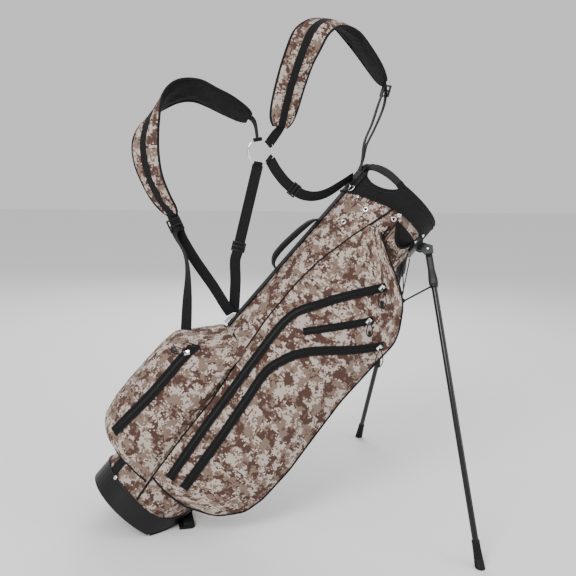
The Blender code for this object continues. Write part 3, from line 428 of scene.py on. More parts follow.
def ribbon(name, points, sides, width, **kinds):
    """Webbing through the points; sides holds its width direction at each, or one for all."""
    if isinstance(sides, Vector):
        sides = [sides] * len(points)
    stations = frames(catmull(points, 8), catmull(sides, 8))
    skin(name, ribbon_rings(stations, width, WEBBING_T), WEBBING, closed=True, capped=True, **kinds)
    return stations


def frame_matrix(centre, along, side):
    """Bag-axes point and directions to a row-frame matrix: X along, Y side, Z out."""
    x = (BAG_TURN @ Vector(along)).normalized()
    y = BAG_TURN @ Vector(side)
    y = (y - x * y.dot(x)).normalized()
    turn = Matrix((x, y, x.cross(y))).transposed().to_4x4()
    return Matrix.Translation(BAG @ Vector(centre)) @ turn


def lathe(bm, place, profile, sides=24):
    """Adds a turned shape: the profile is (radius, height) rows along the matrix's Z."""
    rows = [[place @ Vector((r * math.cos(a), r * math.sin(a), h))
             for a in turns(sides)] for r, h in profile]
    grid_bmesh(rows, closed=True, capped=True, into=bm)


def block(bm, place, size, at=(0, 0, 0)):
    """Adds a box with its edges eased, centred at this point of the place's own axes."""
    part = bmesh.new()
    bmesh.ops.create_cube(part, size=1, matrix=Matrix.Diagonal((*size, 1)))
    bmesh.ops.bevel(part, geom=part.edges[:], offset=min(size) * 0.22, segments=2, affect="EDGES",
                    profile=0.5)
    bmesh.ops.transform(part, matrix=place @ Matrix.Translation(at), verts=part.verts)
    layer = bm.loops.layers.uv.get("cloth") or bm.loops.layers.uv.new("cloth")
    lookup = {v: bm.verts.new(v.co) for v in part.verts}
    for face in part.faces:
        for loop in bm.faces.new([lookup[v] for v in face.verts]).loops:
            loop[layer].uv = loop.vert.co.xz
    part.free()


def stitches(name, stations, offset, lift):
    """Short thread stitches in a row beside a strap's centre line, as small rounded blocks."""
    bm = bmesh.new()
    travelled, due = 0.0, STITCH_PITCH / 2
    for (p, side, normal), (q, _, _) in zip(stations, stations[1:]):
        length = (q - p).length
        while due <= travelled + length:
            here = p.lerp(q, (due - travelled) / length) + side * offset + normal * lift
            block(bm, frame_matrix(here, q - p, side), (STITCH_PITCH * 0.62, 0.0007, 0.0006))
            due += STITCH_PITCH
        travelled += length
    mesh_piece(name, bm, THREAD)


def stitch_rows(name, stations, reach, lift, ends=("a", "b")):
    """A row of stitches at this distance on either side of a strap's centre line."""
    for end, offset in zip(ends, (-reach, reach)):
        stitches(name + "_stitches_" + end, stations, offset, lift)


# ---------------------------------------------------------------- cloth simulation

def swell(piece, pinned, pressure, slack, cap):
    """Blows a cloth sheet out from its pinned seams, then keeps each point within the cap."""
    start = [v.co.copy() for v in piece.data.vertices]
    group = piece.vertex_groups.new(name="seams")
    group.add(sorted(pinned), 1.0, "REPLACE")
    cloth = piece.modifiers.new("cloth", "CLOTH")
    cloth.settings.quality = 6
    cloth.settings.mass = 0.25
    cloth.settings.tension_stiffness = 18
    cloth.settings.compression_stiffness = 18
    cloth.settings.bending_stiffness = 0.35
    cloth.settings.use_pressure = True
    cloth.settings.uniform_pressure_force = pressure
    cloth.settings.shrink_min = -slack
    cloth.settings.effector_weights.gravity = 0
    cloth.settings.vertex_group_mass = "seams"
    cloth.point_cache.frame_start = 1
    cloth.point_cache.frame_end = 20
    scene = bpy.context.scene
    for number in range(1, 21):
        scene.frame_set(number)
    shaped = piece.evaluated_get(bpy.context.evaluated_depsgraph_get()).data
    ends = [v.co.copy() for v in shaped.vertices]
    piece.modifiers.remove(cloth)
    scene.frame_set(1)
    for vertex, old, new in zip(piece.data.vertices, start, ends):
        move = new - old
        if move.length > cap:
            move *= cap / move.length
        vertex.co = old + move
    finer = piece.modifiers.new("finer", "SUBSURF")
    finer.levels = finer.render_levels = 1
    bpy.context.view_layer.update()
    shaped = piece.evaluated_get(bpy.context.evaluated_depsgraph_get())
    made = bpy.data.meshes.new_from_object(shaped)
    piece.modifiers.remove(finer)
    piece.data = made
    made.shade_smooth()
    return piece


# ---------------------------------------------------------------- club tube

SEAM = ((0.034, -0.030), (0.087, -0.036), (0.195, -0.043), (0.290, -0.046), (0.400, -0.059),
        (0.480, -0.066), (0.576, -0.067), (0.634, -0.063), (0.714, -0.048), (0.808, -0.023))
FAR_SEAM_X = -0.034
COLLAR_EDGE = ((-0.12, 0.778), (-0.084, 0.790), (-0.053, 0.800), (-0.023, 0.810), (0.0, 0.8135),
               (0.04, 0.815), (0.12, 0.815))
BOOT_EDGE = ((-0.12, 0.045), (-0.05, 0.045), (0.0, 0.040), (0.03, 0.042), (0.06, 0.053),
             (0.085, 0.068), (0.11, 0.074))


def tube_y(x, radius=TUBE_R):
    return math.sqrt(max(radius * radius - x * x, 0.0))


def tube_rows(radius, crumple, low, high, rows=150, sides=144):
    """Rings up the tube; its foot is cut off level where the boot meets the ground."""
    out = []
    for i in range(rows + 1):
        row = []
        for a in turns(sides):
            ground = (0.0105 + math.sin(LEAN) * (radius * math.cos(a) - HEEL_X)) / math.cos(LEAN)
            start = max(low, ground)
            z = start + (high - start) * i / rows
            place = Vector((math.cos(a) * 1.3, math.sin(a) * 1.3, z * 11 + math.cos(a)))
            r = radius + crumple * (noise.noise(place) + 0.4 * noise.noise(place * 3.1))
            row.append(Vector((r * math.cos(a), r * math.sin(a), z)))
        out.append(row)
    return out


def make_tube():
    """The cloth tube, its dark lining and the corded seams down both sides."""
    outer = tube_rows(TUBE_R - 0.0002, 0.0011, TUBE_LOW, TUBE_TOP)
    inner = tube_rows(TUBE_R - 0.0020, 0.0004, TUBE_LOW, TUBE_TOP, 60)
    skin("tube_cloth", outer, CAMO, closed=True, replaces=("body_tube",))
    skin("tube_lining", inner, BLACK_CLOTH, closed=True)
    for side, low, high in ((-1, 0.046, 0.808), (1, 0.046, 0.790)):
        run = []
        for k in range(90):
            z = low + (high - low) * k / 89
            x = smooth(SEAM, z) if side < 0 else FAR_SEAM_X
            run.append((x, side * (tube_y(x) + 0.0016), z))
        cord("seam_near" if side < 0 else "seam_far", run, 0.0021, BLACK_CLOTH)


# ---------------------------------------------------------------- collar and handles

SCOOP_ANGLE, SCOOP_HALF, SCOOP_DEPTH, SCOOP_Z = 219, 0.052, 0.0415, 0.8685


def rim_height(angle):
    """Top of the collar at this angle in degrees, dipping into the scoop."""
    offset = math.radians((angle - SCOOP_ANGLE + 180) % 360 - 180) * 0.0965
    if abs(offset) >= SCOOP_HALF:
        return RIM_Z
    return min(RIM_Z, SCOOP_Z - SCOOP_DEPTH * math.sqrt(1 - (offset / SCOOP_HALF) ** 2))


def collar_section(angle):
    """Padded band: outer face, rolled top, inner face and the step under the rim."""
    a = math.radians(angle)
    low = smooth(COLLAR_EDGE, RIM_R * math.cos(a))
    top = rim_height(angle)
    rise = top - low
    pairs = []
    for k in range(9):
        t = k / 8
        pad = 0.0008 * math.sin(math.pi * min(1.0, t * 1.05)) ** 0.5
        pairs.append((RIM_R - 0.0007 + pad, low + (rise - 0.0042) * t))
    for k in range(1, 8):
        t = math.pi * k / 8
        pairs.append((0.09675 + 0.00425 * math.cos(t), top - 0.0042 + 0.0042 * math.sin(t)))
    for t in (0.0, 0.33, 0.66, 1.0):
        pairs.append((0.0925, (top - 0.0042) + (TUBE_TOP + 0.0005 - top + 0.0042) * t))
    pairs.append((TUBE_R + 0.0006, TUBE_TOP + 0.0004))
    pairs.append((TUBE_R + 0.0006, low))
    ripple = 0.0003 * noise.noise(Vector((math.cos(a) * 6, math.sin(a) * 6, 1)))
    return [((r + ripple) * math.cos(a), (r + ripple) * math.sin(a), z) for r, z in pairs]


def make_collar():
    angles = [2 * k for k in range(180)]
    rows = [collar_section(a) for a in angles]
    bm = grid_bmesh(to_row(rows + rows[:1]), closed=True)
    bmesh.ops.remove_doubles(bm, verts=bm.verts, dist=1e-6)
    bmesh.ops.recalc_face_normals(bm, faces=bm.faces)
    mesh_piece("collar_cloth", bm, BLACK_CLOTH, replaces=("top_collar",))
    edge, groove = [], []
    for angle in angles:
        a = math.radians(angle)
        low = smooth(COLLAR_EDGE, RIM_R * math.cos(a)) + 0.0012
        edge.append(((RIM_R + 0.0002) * math.cos(a), (RIM_R + 0.0002) * math.sin(a), low))
        top = rim_height(angle) - 0.0110
        groove.append(((RIM_R + 0.0004) * math.cos(a), (RIM_R + 0.0004) * math.sin(a), top))
    cord("collar_binding", edge, 0.0019, WEBBING, cyclic=True)
    cord("collar_stitch_line", groove, 0.0007, THREAD, sides=6, cyclic=True)


def make_lift_handle():
    """A ribbed grip across the scoop, held by a sleeve at each end."""
    half = 31.0
    rings = []
    steps = 150
    for k in range(steps + 1):
        t = -1 + 2 * k / steps
        angle = math.radians(SCOOP_ANGLE + half * t)
        rib = 0.0005 * abs(math.sin(math.pi * k / 6)) if abs(t) < 0.74 else 0.0
        out = Vector((math.cos(angle), math.sin(angle), 0))
        middle = out * (0.0972 + 0.002 * (1 - t * t)) + Vector((0, 0, 0.8535 + 0.006 * (1 - t * t)))
        high = 0.0080 - 0.001 * abs(t) + rib
        ring = []
        for a in turns(24):
            level = out * ((0.0040 + rib) * math.cos(a))
            ring.append(middle + level + Vector((0, 0, high * math.sin(a))))
        rings.append(ring)
    skin("lift_handle_grip", rings, GRIP_CLOTH, closed=True, capped=True, replaces=("lift_handle",))
    for name, part in (("lower", rings[:20]), ("upper", rings[-20:])):
        sleeve = []
        for ring in part:
            middle = sum(ring, Vector()) / len(ring)
            sleeve.append([middle + (p - middle) * 1.16 for p in ring])
        skin("lift_handle_sleeve_" + name, sleeve, BLACK_CLOTH, closed=True, capped=True)


def make_spine_handle():
    """A padded carry grip with bound edges, sewn to the spine at both ends."""
    route = [(-0.1010, 0.0, 0.706), (-0.1085, -0.001, 0.694), (-0.1145, -0.003, 0.672),
             (-0.1190, -0.004, 0.640), (-0.1215, -0.004, 0.610), (-0.1200, -0.003, 0.588),
             (-0.1125, -0.001, 0.574), (-0.1010, 0.0, 0.568)]
    thick = (0.0016, 0.006, 0.010, 0.011, 0.011, 0.010, 0.004, 0.0016)
    points = catmull(route, 8)
    depth = [v.x for v in catmull([(t, 0, 0) for t in thick], 8)]
    stations = frames(points, [Vector((0, 1, 0))] * len(points))
    rings, edges = [], ([], [])
    for (point, side, normal), deep in zip(stations, depth):
        ring = []
        for k in range(20):
            a = math.tau * (k + 0.5) / 20
            c, s = math.cos(a), math.sin(a)
            ring.append(point + side * (0.0122 * math.copysign(abs(c) ** 0.6, c))
                        + normal * (deep / 2 * math.copysign(abs(s) ** 0.9, s)))
        rings.append(ring)
        for edge, sign in zip(edges, (-1, 1)):
            edge.append(point + side * sign * 0.0124)
    handle = skin("spine_handle_grip", rings, BLACK_CLOTH, closed=True, capped=True,
                  replaces=("spine_handle",))
    for name, edge in zip(("near", "far"), edges):
        cord("spine_handle_binding_" + name, edge[4:-4], 0.0012, WEBBING)
    stitches("spine_handle_stitches", stations[10:-10], 0.0, 0.0056)
    strip = [(-TUBE_R - 0.0015, 0.0, z) for z in (0.415, 0.5, 0.6, 0.7, 0.785)]
    runs = ribbon("spine_webbing", strip, Vector((0, 1, 0)), 0.024, replaces=("spine_strip",))
    stitch_rows("spine_webbing", runs, 0.0095, -0.0011, ("near", "far"))


# ---------------------------------------------------------------- side pockets

OUTER_EDGE = ((0.098, 0.020), (0.104, 0.066), (0.114, 0.102), (0.157, 0.147), (0.200, 0.159),
              (0.278, 0.162), (0.356, 0.156), (0.450, 0.150), (0.531, 0.153), (0.608, 0.157),
              (0.635, 0.147), (0.669, 0.124), (0.687, 0.108), (0.707, 0.075), (0.723, 0.036),
              (0.740, 0.002), (0.758, -0.034))
FULLNESS = ((0.098, 0.35), (0.157, 0.75), (0.240, 1.0), (0.600, 1.0), (0.680, 0.7), (0.753, 0.1))
POCKET_LOW, POCKET_HIGH = 0.098, 0.753
EDGE_Y, BULGE, INNER_WALL_Y = -0.122, 0.030, 0.0765
LEG_PIVOT = Vector((0.110, -0.054, 0.810))
LEG_DIR = Vector((0.599, -0.440, -0.670)).normalized()
ZIP_UPPER = ((0.060, 0.680), (0.025, 0.631), (-0.008, 0.580), (-0.034, 0.533), (-0.041, 0.500),
             (-0.041, 0.457), (-0.038, 0.411), (-0.031, 0.316), (-0.024, 0.225), (-0.013, 0.120))
ZIP_LOWER = ((0.137, 0.589), (0.096, 0.547), (0.042, 0.499), (0.015, 0.466), (0.002, 0.439),
             (-0.008, 0.400), (-0.003, 0.341), (0.007, 0.246), (0.018, 0.124))
ZIP_SHORT = ((-0.004, 0.506), (0.040, 0.560), (0.084, 0.614))
ZIP_LIFT = 0.0022


def face_y(x, z):
    """Near side pocket's outer face: Y at this place, always clear of the tube."""
    seam, edge = interpolate(SEAM, z), interpolate(OUTER_EDGE, z)
    t = min(max((x - seam) / (edge - seam), 0.0), 1.0)
    start = -tube_y(seam) - 0.003
    level = start + (EDGE_Y - start) * t
    crowned = level - BULGE * interpolate(FULLNESS, z) * math.sin(math.pi * t) ** 0.8
    cover = -tube_y(x) - 0.003 - 0.012 * min(1.0, t / 0.2) * interpolate(FULLNESS, z)
    return min(crowned, cover)


def leg_side_y(x):
    """Pocket's hidden inner wall, which keeps clear of the leg as it swings."""
    swing = LEG_PIVOT.y - LEG_DIR.y / LEG_DIR.x * -(x - LEG_PIVOT.x) - 0.0155
    return min(-INNER_WALL_Y, swing)


def on_face(x, z, lift):
    """Point this far off the near pocket's face, with the face's outward normal."""
    step = 0.004
    here = Vector((x, face_y(x, z), z))
    across = Vector((x + step, face_y(x + step, z), z)) - Vector((x - step, face_y(x - step, z), z))
    along = Vector((x, face_y(x, z + step), z + step)) - Vector((x, face_y(x, z - step), z - step))
    normal = across.cross(along).normalized()
    if normal.y > 0:
        normal = -normal
    return here + normal * lift, normal


def zip_frames(route):
    """Stations of a zip on the pocket face: point, width direction and normal."""
    spots = catmull([Vector((x, 0, z)) for x, z in route], 8)
    placed = [on_face(p.x, p.z, ZIP_LIFT + 0.0006) for p in spots]
    out = []
    for i, (point, normal) in enumerate(placed):
        ahead = placed[min(i + 1, len(placed) - 1)][0]
        behind = placed[max(i - 1, 0)][0]
        out.append((point, (ahead - behind).cross(normal).normalized(), normal))
    return out


def near_any(routes, x, z, reach):
    """True where a face point lies on or close beside one of the zips."""
    for route in routes:
        for (x0, z0), (x1, z1) in zip(route, route[1:]):
            run = Vector((x1 - x0, z1 - z0))
            gap = Vector((x - x0, z - z0))
            t = min(max(gap.dot(run) / run.dot(run), 0.0), 1.0)
            if (gap - run * t).length < reach:
                return True
    return False


def make_near_pocket():
    """The big zipped pocket: a sheet blown out between its seams and zips, and its walls."""
    rows, columns = 84, 40
    grid, pins = [], set()
    for i in range(rows + 1):
        z = POCKET_LOW + (POCKET_HIGH - POCKET_LOW) * i / rows
        seam, edge = smooth(SEAM, z), smooth(OUTER_EDGE, z)
        line = []
        for k in range(columns + 1):
            t = k / columns
            x = seam + (edge - seam) * t
            line.append(Vector((x, face_y(x, z), z)))
            edging = k in (0, columns) or i in (0, rows)
            if edging or near_any((ZIP_UPPER, ZIP_LOWER, ZIP_SHORT), x, z, 0.0085):
                pins.add(i * (columns + 1) + k)
        grid.append(line)
    face = skin("side_pocket_face", grid, CAMO, replaces=("side_pocket_near",))
    flip_outward(face, Vector((0, -1, 0)))
    swell(face, pins, 2.2, 0.012, 0.0045)

    walls = []
    for line in grid:
        corner = line[-1]
        edge, z = corner.x, corner.z
        wall = [corner.copy()]
        back = Vector((edge - 0.003, max(leg_side_y(edge), corner.y + 0.0015), z))
        foot_x = min(0.066, edge - 0.006)
        foot = Vector((foot_x, -tube_y(foot_x, TUBE_R - 0.002), z))
        if edge < 0.070:
            back = corner.lerp(foot, 0.5)
        middle = back.lerp(foot, 0.5)
        if edge > 0.080:
            middle.y = min(middle.y, leg_side_y(middle.x))
        for start, end in ((corner, back), (back, middle), (middle, foot)):
            wall += [start.lerp(end, k / 6) for k in range(1, 7)]
        walls.append(wall)
    skin("side_pocket_wall", walls, BLACK_CLOTH)
    low = []
    for p in grid[0]:
        x = min(p.x, 0.094)
        inner = Vector((x, -tube_y(x, TUBE_R - 0.002), p.z))
        low.append([p.lerp(inner, k / 6) for k in range(7)])
    skin("side_pocket_foot", low, CAMO)
    outline = [line[-1] for line in grid]
    bottom = grid[0][::-1][1:]
    cord("side_pocket_piping", [p + Vector((0.0006, -0.0006, 0)) for p in outline[::-1]] + bottom,
         0.0019, BLACK_CLOTH)


def flip_outward(piece, way):
    """Turns an open sheet's faces the way that is given in the bag's axes."""
    want = BAG_TURN @ way
    total = sum((p.normal for p in piece.data.polygons), Vector())
    if total.dot(want) < 0:
        piece.data.flip_normals()


def make_far_pocket():
    """The long clothing pocket on the far side, swollen from its outline."""
    shape = ((0.110, 0.020, 0.012), (0.130, 0.028, 0.020), (0.200, 0.034, 0.026),
             (0.400, 0.036, 0.028), (0.600, 0.034, 0.026), (0.690, 0.026, 0.018),
             (0.715, 0.016, 0.010))
    reaches, depths = [(z, r) for z, r, _ in shape], [(z, d) for z, _, d in shape]
    rows, columns = 74, 26
    grid = []
    for i in range(rows + 1):
        z = 0.110 + 0.605 * i / rows
        reach, depth = smooth(reaches, z), smooth(depths, z)
        line = []
        for k in range(columns + 1):
            t = k / columns
            x = FAR_SEAM_X + (reach - FAR_SEAM_X) * t
            line.append(Vector((x, tube_y(x) + 0.0015 + depth * math.sin(math.pi * t) ** 0.7, z)))
        grid.append(line)
    edge = {i * (columns + 1) + k for i in range(rows + 1) for k in range(columns + 1)
            if i in (0, rows) or k in (0, columns)}
    face = skin("far_pocket_face", grid, CAMO, replaces=("side_pocket_far",))
    flip_outward(face, Vector((0, 1, 0)))
    swell(face, edge, 2.0, 0.010, 0.004)
    for name, line in (("foot", grid[0]), ("head", grid[-1])):
        under = [[p.lerp(Vector((p.x, tube_y(p.x) - 0.001, p.z)), k / 4) for k in range(5)]
                 for p in line]
        skin("far_pocket_" + name, under, CAMO)
    edging = [line[-1] + Vector((0.001, 0, 0)) for line in grid]
    cord("far_pocket_piping", edging, 0.0018, BLACK_CLOTH)


# ---------------------------------------------------------------- ball pocket and sleeve

BALL_SECTION = ((-0.066, -0.096), (-0.105, -0.090), (-0.135, -0.082), (-0.156, -0.068),
                (-0.168, -0.046), (-0.173, -0.022), (-0.174, 0.0))
BALL_SWELL = ((0.084, 0.30), (0.094, 0.66), (0.115, 0.90), (0.160, 1.0), (0.220, 1.0),
              (0.300, 0.98), (0.336, 0.92), (0.350, 0.72), (0.372, 0.46), (0.392, 0.22),
              (0.408, 0.05))


def ball_point(index, z):
    """Half section of the ball pocket at this height, from its seam to its nose."""
    size = interpolate(BALL_SWELL, z)
    if index < 0:
        x = interpolate(SEAM, z) - 0.006
        return Vector((x, -tube_y(x) - 0.003, z))
    x, y = BALL_SECTION[index]
    flat = Vector((x, y, 0)).normalized() * (TUBE_R + 0.0035)
    return Vector((flat.x + (x - flat.x) * size, flat.y + (y - flat.y) * size, z))


BALL_ZIP = ((0.350, 2.85), (0.342, 2.60), (0.330, 2.50), (0.305, 2.47), (0.280, 2.42),
            (0.240, 2.40), (0.200, 2.44), (0.160, 2.58), (0.118, 2.88))


def ball_between(across, z):
    """A place on the half section between two of its numbered points."""
    index = math.floor(across)
    return ball_point(index, z).lerp(ball_point(index + 1, z), across - index)


def ball_zip():
    """Stations along the ball pocket's zip, a little off its face."""
    rows = catmull([Vector((z, across, 0)) for z, across in BALL_ZIP], 6)
    points = [ball_between(row.y, row.x) for row in rows]
    out = []
    for i, (row, here) in enumerate(zip(rows, points)):
        chord = ball_between(row.y + 0.5, row.x) - ball_between(row.y - 0.5, row.x)
        normal = Vector((-chord.y, chord.x, 0)).normalized()
        ahead = points[min(i + 1, len(points) - 1)] - points[max(i - 1, 0)]
        out.append((here + normal * (ZIP_LIFT + 0.0010), ahead.cross(normal).normalized(), normal))
    return out


def make_ball_pocket():
    """The rounded front pocket, swollen between its seam, its zip and its two ends."""
    rows = 66
    zip_line = [s[0] for s in ball_zip()]
    grid, pins = [], set()
    for i in range(rows + 1):
        z = 0.084 + 0.324 * i / rows
        half = [ball_point(k, z) for k in range(-1, len(BALL_SECTION))]
        section = half + [Vector((p.x, -p.y, p.z)) for p in reversed(half[:-1])]
        line = catmull(section, 5)
        for k, p in enumerate(line):
            edging = k in (0, len(line) - 1) or i in (0, rows)
            half_way = Vector((p.x, -abs(p.y), p.z))
            if edging or min((half_way - q).length for q in zip_line[::2]) < 0.0095:
                pins.add(i * len(line) + k)
        grid.append(line)
    face = skin("ball_pocket_face", grid, CAMO, replaces=("ball_pocket",))
    flip_outward(face, Vector((-1, 0, 0)))
    swell(face, pins, 2.2, 0.014, 0.0045)
    cord("ball_pocket_piping_far", [line[-1] for line in grid], 0.0019, BLACK_CLOTH)
    foot = grid[0]
    under = []
    for p in foot:
        inner = Vector((p.x, p.y, 0)).normalized() * (TUBE_R - 0.001) + Vector((0, 0, p.z))
        under.append([p.lerp(inner, k / 5) for k in range(6)])
    skin("ball_pocket_foot", under, CAMO)
    cord("ball_pocket_hem", foot, 0.0019, BLACK_CLOTH)


def crescent(x_low, x_high, lift, z):
    """One level of the sleeve: from the tube, out and back to the tube."""
    out = []
    for k in range(29):
        t = k / 28
        x = x_low + (x_high - x_low) * t
        out.append(Vector((x, -tube_y(x) - 0.0016 - lift * math.sin(math.pi * t) ** 0.6, z)))
    return out


def make_bottle_sleeve():
    """The drop-in sleeve beside the collar, with a gathered elastic mouth."""
    table = ((0.7475, 0.006, 0.060, 0.007), (0.754, 0.004, 0.064, 0.016),
             (0.774, 0.003, 0.066, 0.0196), (0.7955, 0.003, 0.066, 0.0192))
    ends, tops, lifts = ([(row[0], row[k]) for row in table] for k in (1, 2, 3))
    low_z = table[0][0]
    grid = []
    for i in range(25):
        z = low_z + 0.048 * i / 24
        line = crescent(*(interpolate(row, z) for row in (ends, tops, lifts)), z)
        for k, p in enumerate(line):
            dip = 0.76 * math.sin(math.pi * (k / (len(line) - 1)) ** 0.85) ** 0.8
            p.y += 0.0009 * math.sin(k * 2.1) * (i / 24) ** 2
            p.z = low_z + (z - low_z) * (1 - dip)
        grid.append(line)
    inner = [[p + Vector((0, 0.0016, 0)) for p in line] for line in grid]
    bm = grid_bmesh(to_row(grid + inner[::-1]))
    bmesh.ops.recalc_face_normals(bm, faces=bm.faces)
    mesh_piece("sleeve_cloth", bm, CAMO, replaces=("bottle_sleeve",))
    low = [[p.lerp(Vector((p.x, -tube_y(p.x), p.z)), k / 4) for k in range(5)] for p in grid[0]]
    skin("sleeve_foot", low, CAMO)
    mouth = [p + Vector((0, 0.0008, 0)) for p in grid[-1]]
    line = catmull(mouth, 4)
    for strand in (0, 1):
        twist = []
        for k, p in enumerate(line):
            a = 1.15 * k + math.pi * strand
            around = Vector((0.0006 * math.cos(a), -0.0013 * math.sin(a), 0.0013 * math.cos(a)))
            twist.append(p + around)
        cord("sleeve_elastic_%d" % strand, twist, 0.0015, BLACK_CLOTH, sides=8)
    lining = [[Vector((x, -tube_y(x) - 0.0007, 0.750 + 0.049 * k / 8))
               for x in (0.001 + 0.066 * i / 16 for i in range(17))] for k in range(9)]
    flip_outward(skin("sleeve_lining", lining, BLACK_CLOTH), Vector((0, -1, 0)))
    edge = ((-0.005, 0.779), (-0.003, 0.757), (0.016, 0.744))
    run = catmull([Vector((x, -tube_y(x) - 0.0018, z)) for x, z in edge], 8)
    cord("sleeve_side_binding", run, 0.0016, BLACK_CLOTH)


# ---------------------------------------------------------------- zips

def make_zip(name, stations, width):
    """Woven tape with a raised coil: one small rounded tooth after another."""
    skin(name + "_tape", ribbon_rings(stations, width, 0.0014), ZIP_CLOTH, closed=True, capped=True,
         replaces=(name,))
    bm = bmesh.new()
    pitch, travelled, due, count = 0.0021, 0.0, 0.001, 0
    for (p, side, normal), (q, _, _) in zip(stations, stations[1:]):
        length = (q - p).length
        while due <= travelled + length:
            here = p.lerp(q, (due - travelled) / length) + normal * 0.0011
            here += side * (0.0006 if count % 2 else -0.0006)
            block(bm, frame_matrix(here, q - p, side), (0.0013, 0.0048, 0.0012))
            due += pitch
            count += 1
        travelled += length
    mesh_piece(name + "_coil", bm, PLASTIC)
    stitch_rows(name, stations, width * 0.40, 0.0009)


def make_slider(key):
    """Slider body, bridge and stub tab; the looped cord pull swings from it."""
    low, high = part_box("slider_" + key)
    centre = (low + high) / 2
    mesh = frame["nodes"]["slider_" + key].data
    edges = [mesh.vertices[e.vertices[0]].co - mesh.vertices[e.vertices[1]].co for e in mesh.edges]
    along = max(edges, key=lambda edge: edge.length).normalized()
    joint = next(j for j in frame["joints"] if j["name"] == "pull_swing_" + key)
    normal = Vector(joint["axis"])
    side = normal.cross(along).normalized()
    place = Matrix.Translation(centre) @ Matrix((along, side, normal)).transposed().to_4x4()
    bm = bmesh.new()
    block(bm, place, (0.0120, 0.0088, 0.0018), (0, 0, -0.0009))
    block(bm, place, (0.0100, 0.0030, 0.0016), (0, 0, 0.0007))
    for x in (0.0036, -0.0036):
        block(bm, place, (0.0020, 0.0030, 0.0022), (x, 0, 0.0014))
    body = "zip_slider_" + key
    mesh_piece(body + "_metal", bm, BRIGHT_METAL, body, replaces=("slider_" + key,))

    start = Vector(joint["pos_m"])
    far = max((v.co for v in frame["nodes"]["pull_" + key].data.vertices),
              key=lambda c: (c - start).length)
    length = (far - start).length - 0.001
    fall = (far - start).normalized()
    out = fall.cross(normal).normalized()
    loop = []
    for a in turns(48):
        half = 0.27 * length * math.sin(a) * (0.5 - 0.5 * math.cos(a)) ** 0.5
        loop.append(start + fall * (length * (0.5 - 0.5 * math.cos(a))) + out * half)
    cord("pull_cord_" + key, loop, 0.0010, BRAID, sides=8, cyclic=True, row=True,
         body="zip_pull_" + key, replaces=("pull_" + key,))
    bm = bmesh.new()
    grip = Matrix((fall, out, normal)).transposed().to_4x4()
    middle = Matrix.Translation(start + fall * length * 0.80)
    block(bm, middle @ grip, (length * 0.36, 0.0062, 0.0028))
    mesh_piece("pull_tab_" + key, bm, PLASTIC, "zip_pull_" + key)


def make_zips():
    for name, route, width in (("zip_upper", ZIP_UPPER, 0.018), ("zip_lower", ZIP_LOWER, 0.018),
                               ("zip_short", ZIP_SHORT, 0.015)):
        make_zip(name, zip_frames(route), width)
    make_zip("zip_ball", ball_zip(), 0.021)
    for key in ("upper", "lower", "short", "ball"):
        make_slider(key)


# ---------------------------------------------------------------- harness

PAD_LEFT = (
    ((-0.346, 0.000, 0.757), (0.13, 0.82, -0.56), 0.040),
    ((-0.389, 0.000, 0.747), (0.15, 0.81, -0.56), 0.054),
    ((-0.425, 0.000, 0.736), (0.17, 0.85, -0.50), 0.060),
    ((-0.456, 0.000, 0.724), (0.33, 0.81, -0.47), 0.062),
    ((-0.478, 0.002, 0.702), (0.50, 0.81, -0.31), 0.062),
    ((-0.487, 0.000, 0.672), (0.37, 0.91, -0.20), 0.062),
    ((-0.486, -0.008, 0.642), (0.00, 0.96, -0.28), 0.062),
    ((-0.479, -0.018, 0.612), (-0.36, 0.84, -0.39), 0.062),
    ((-0.464, -0.026, 0.583), (-0.51, 0.68, -0.52), 0.062),
    ((-0.440, -0.030, 0.558), (-0.46, 0.66, -0.59), 0.060),
    ((-0.410, -0.029, 0.538), (-0.39, 0.72, -0.57), 0.056),
    ((-0.373, -0.022, 0.522), (-0.35, 0.71, -0.61), 0.048),
    ((-0.334, -0.013, 0.513), (-0.31, 0.67, -0.68), 0.032),
)
PAD_RIGHT = (
    ((-0.289, -0.010, 0.787), (0.77, 0.32, 0.55), 0.048),
    ((-0.308, -0.018, 0.818), (0.82, 0.23, 0.52), 0.058),
    ((-0.334, -0.026, 0.866), (0.87, 0.20, 0.44), 0.061),
    ((-0.356, -0.030, 0.918), (0.93, 0.10, 0.33), 0.062),
    ((-0.365, -0.022, 0.965), (0.85, -0.50, 0.25), 0.062),
    ((-0.355, -0.002, 1.003), (0.66, -0.74, 0.12), 0.062),
    ((-0.328, 0.016, 1.026), (0.34, -0.93, 0.05), 0.062),
    ((-0.293, 0.024, 1.033), (0.08, -0.98, 0.17), 0.062),
    ((-0.253, 0.024, 1.029), (-0.04, -0.98, 0.22), 0.058),
    ((-0.214, 0.018, 1.020), (-0.12, -0.96, 0.27), 0.050),
    ((-0.184, 0.010, 1.010), (-0.15, -0.94, 0.31), 0.034),
)
PAD_T = 0.012
RING_CENTRE = Vector((-0.286, -0.005, 0.723))
RING_R, RING_WIRE = 0.024, 0.0019


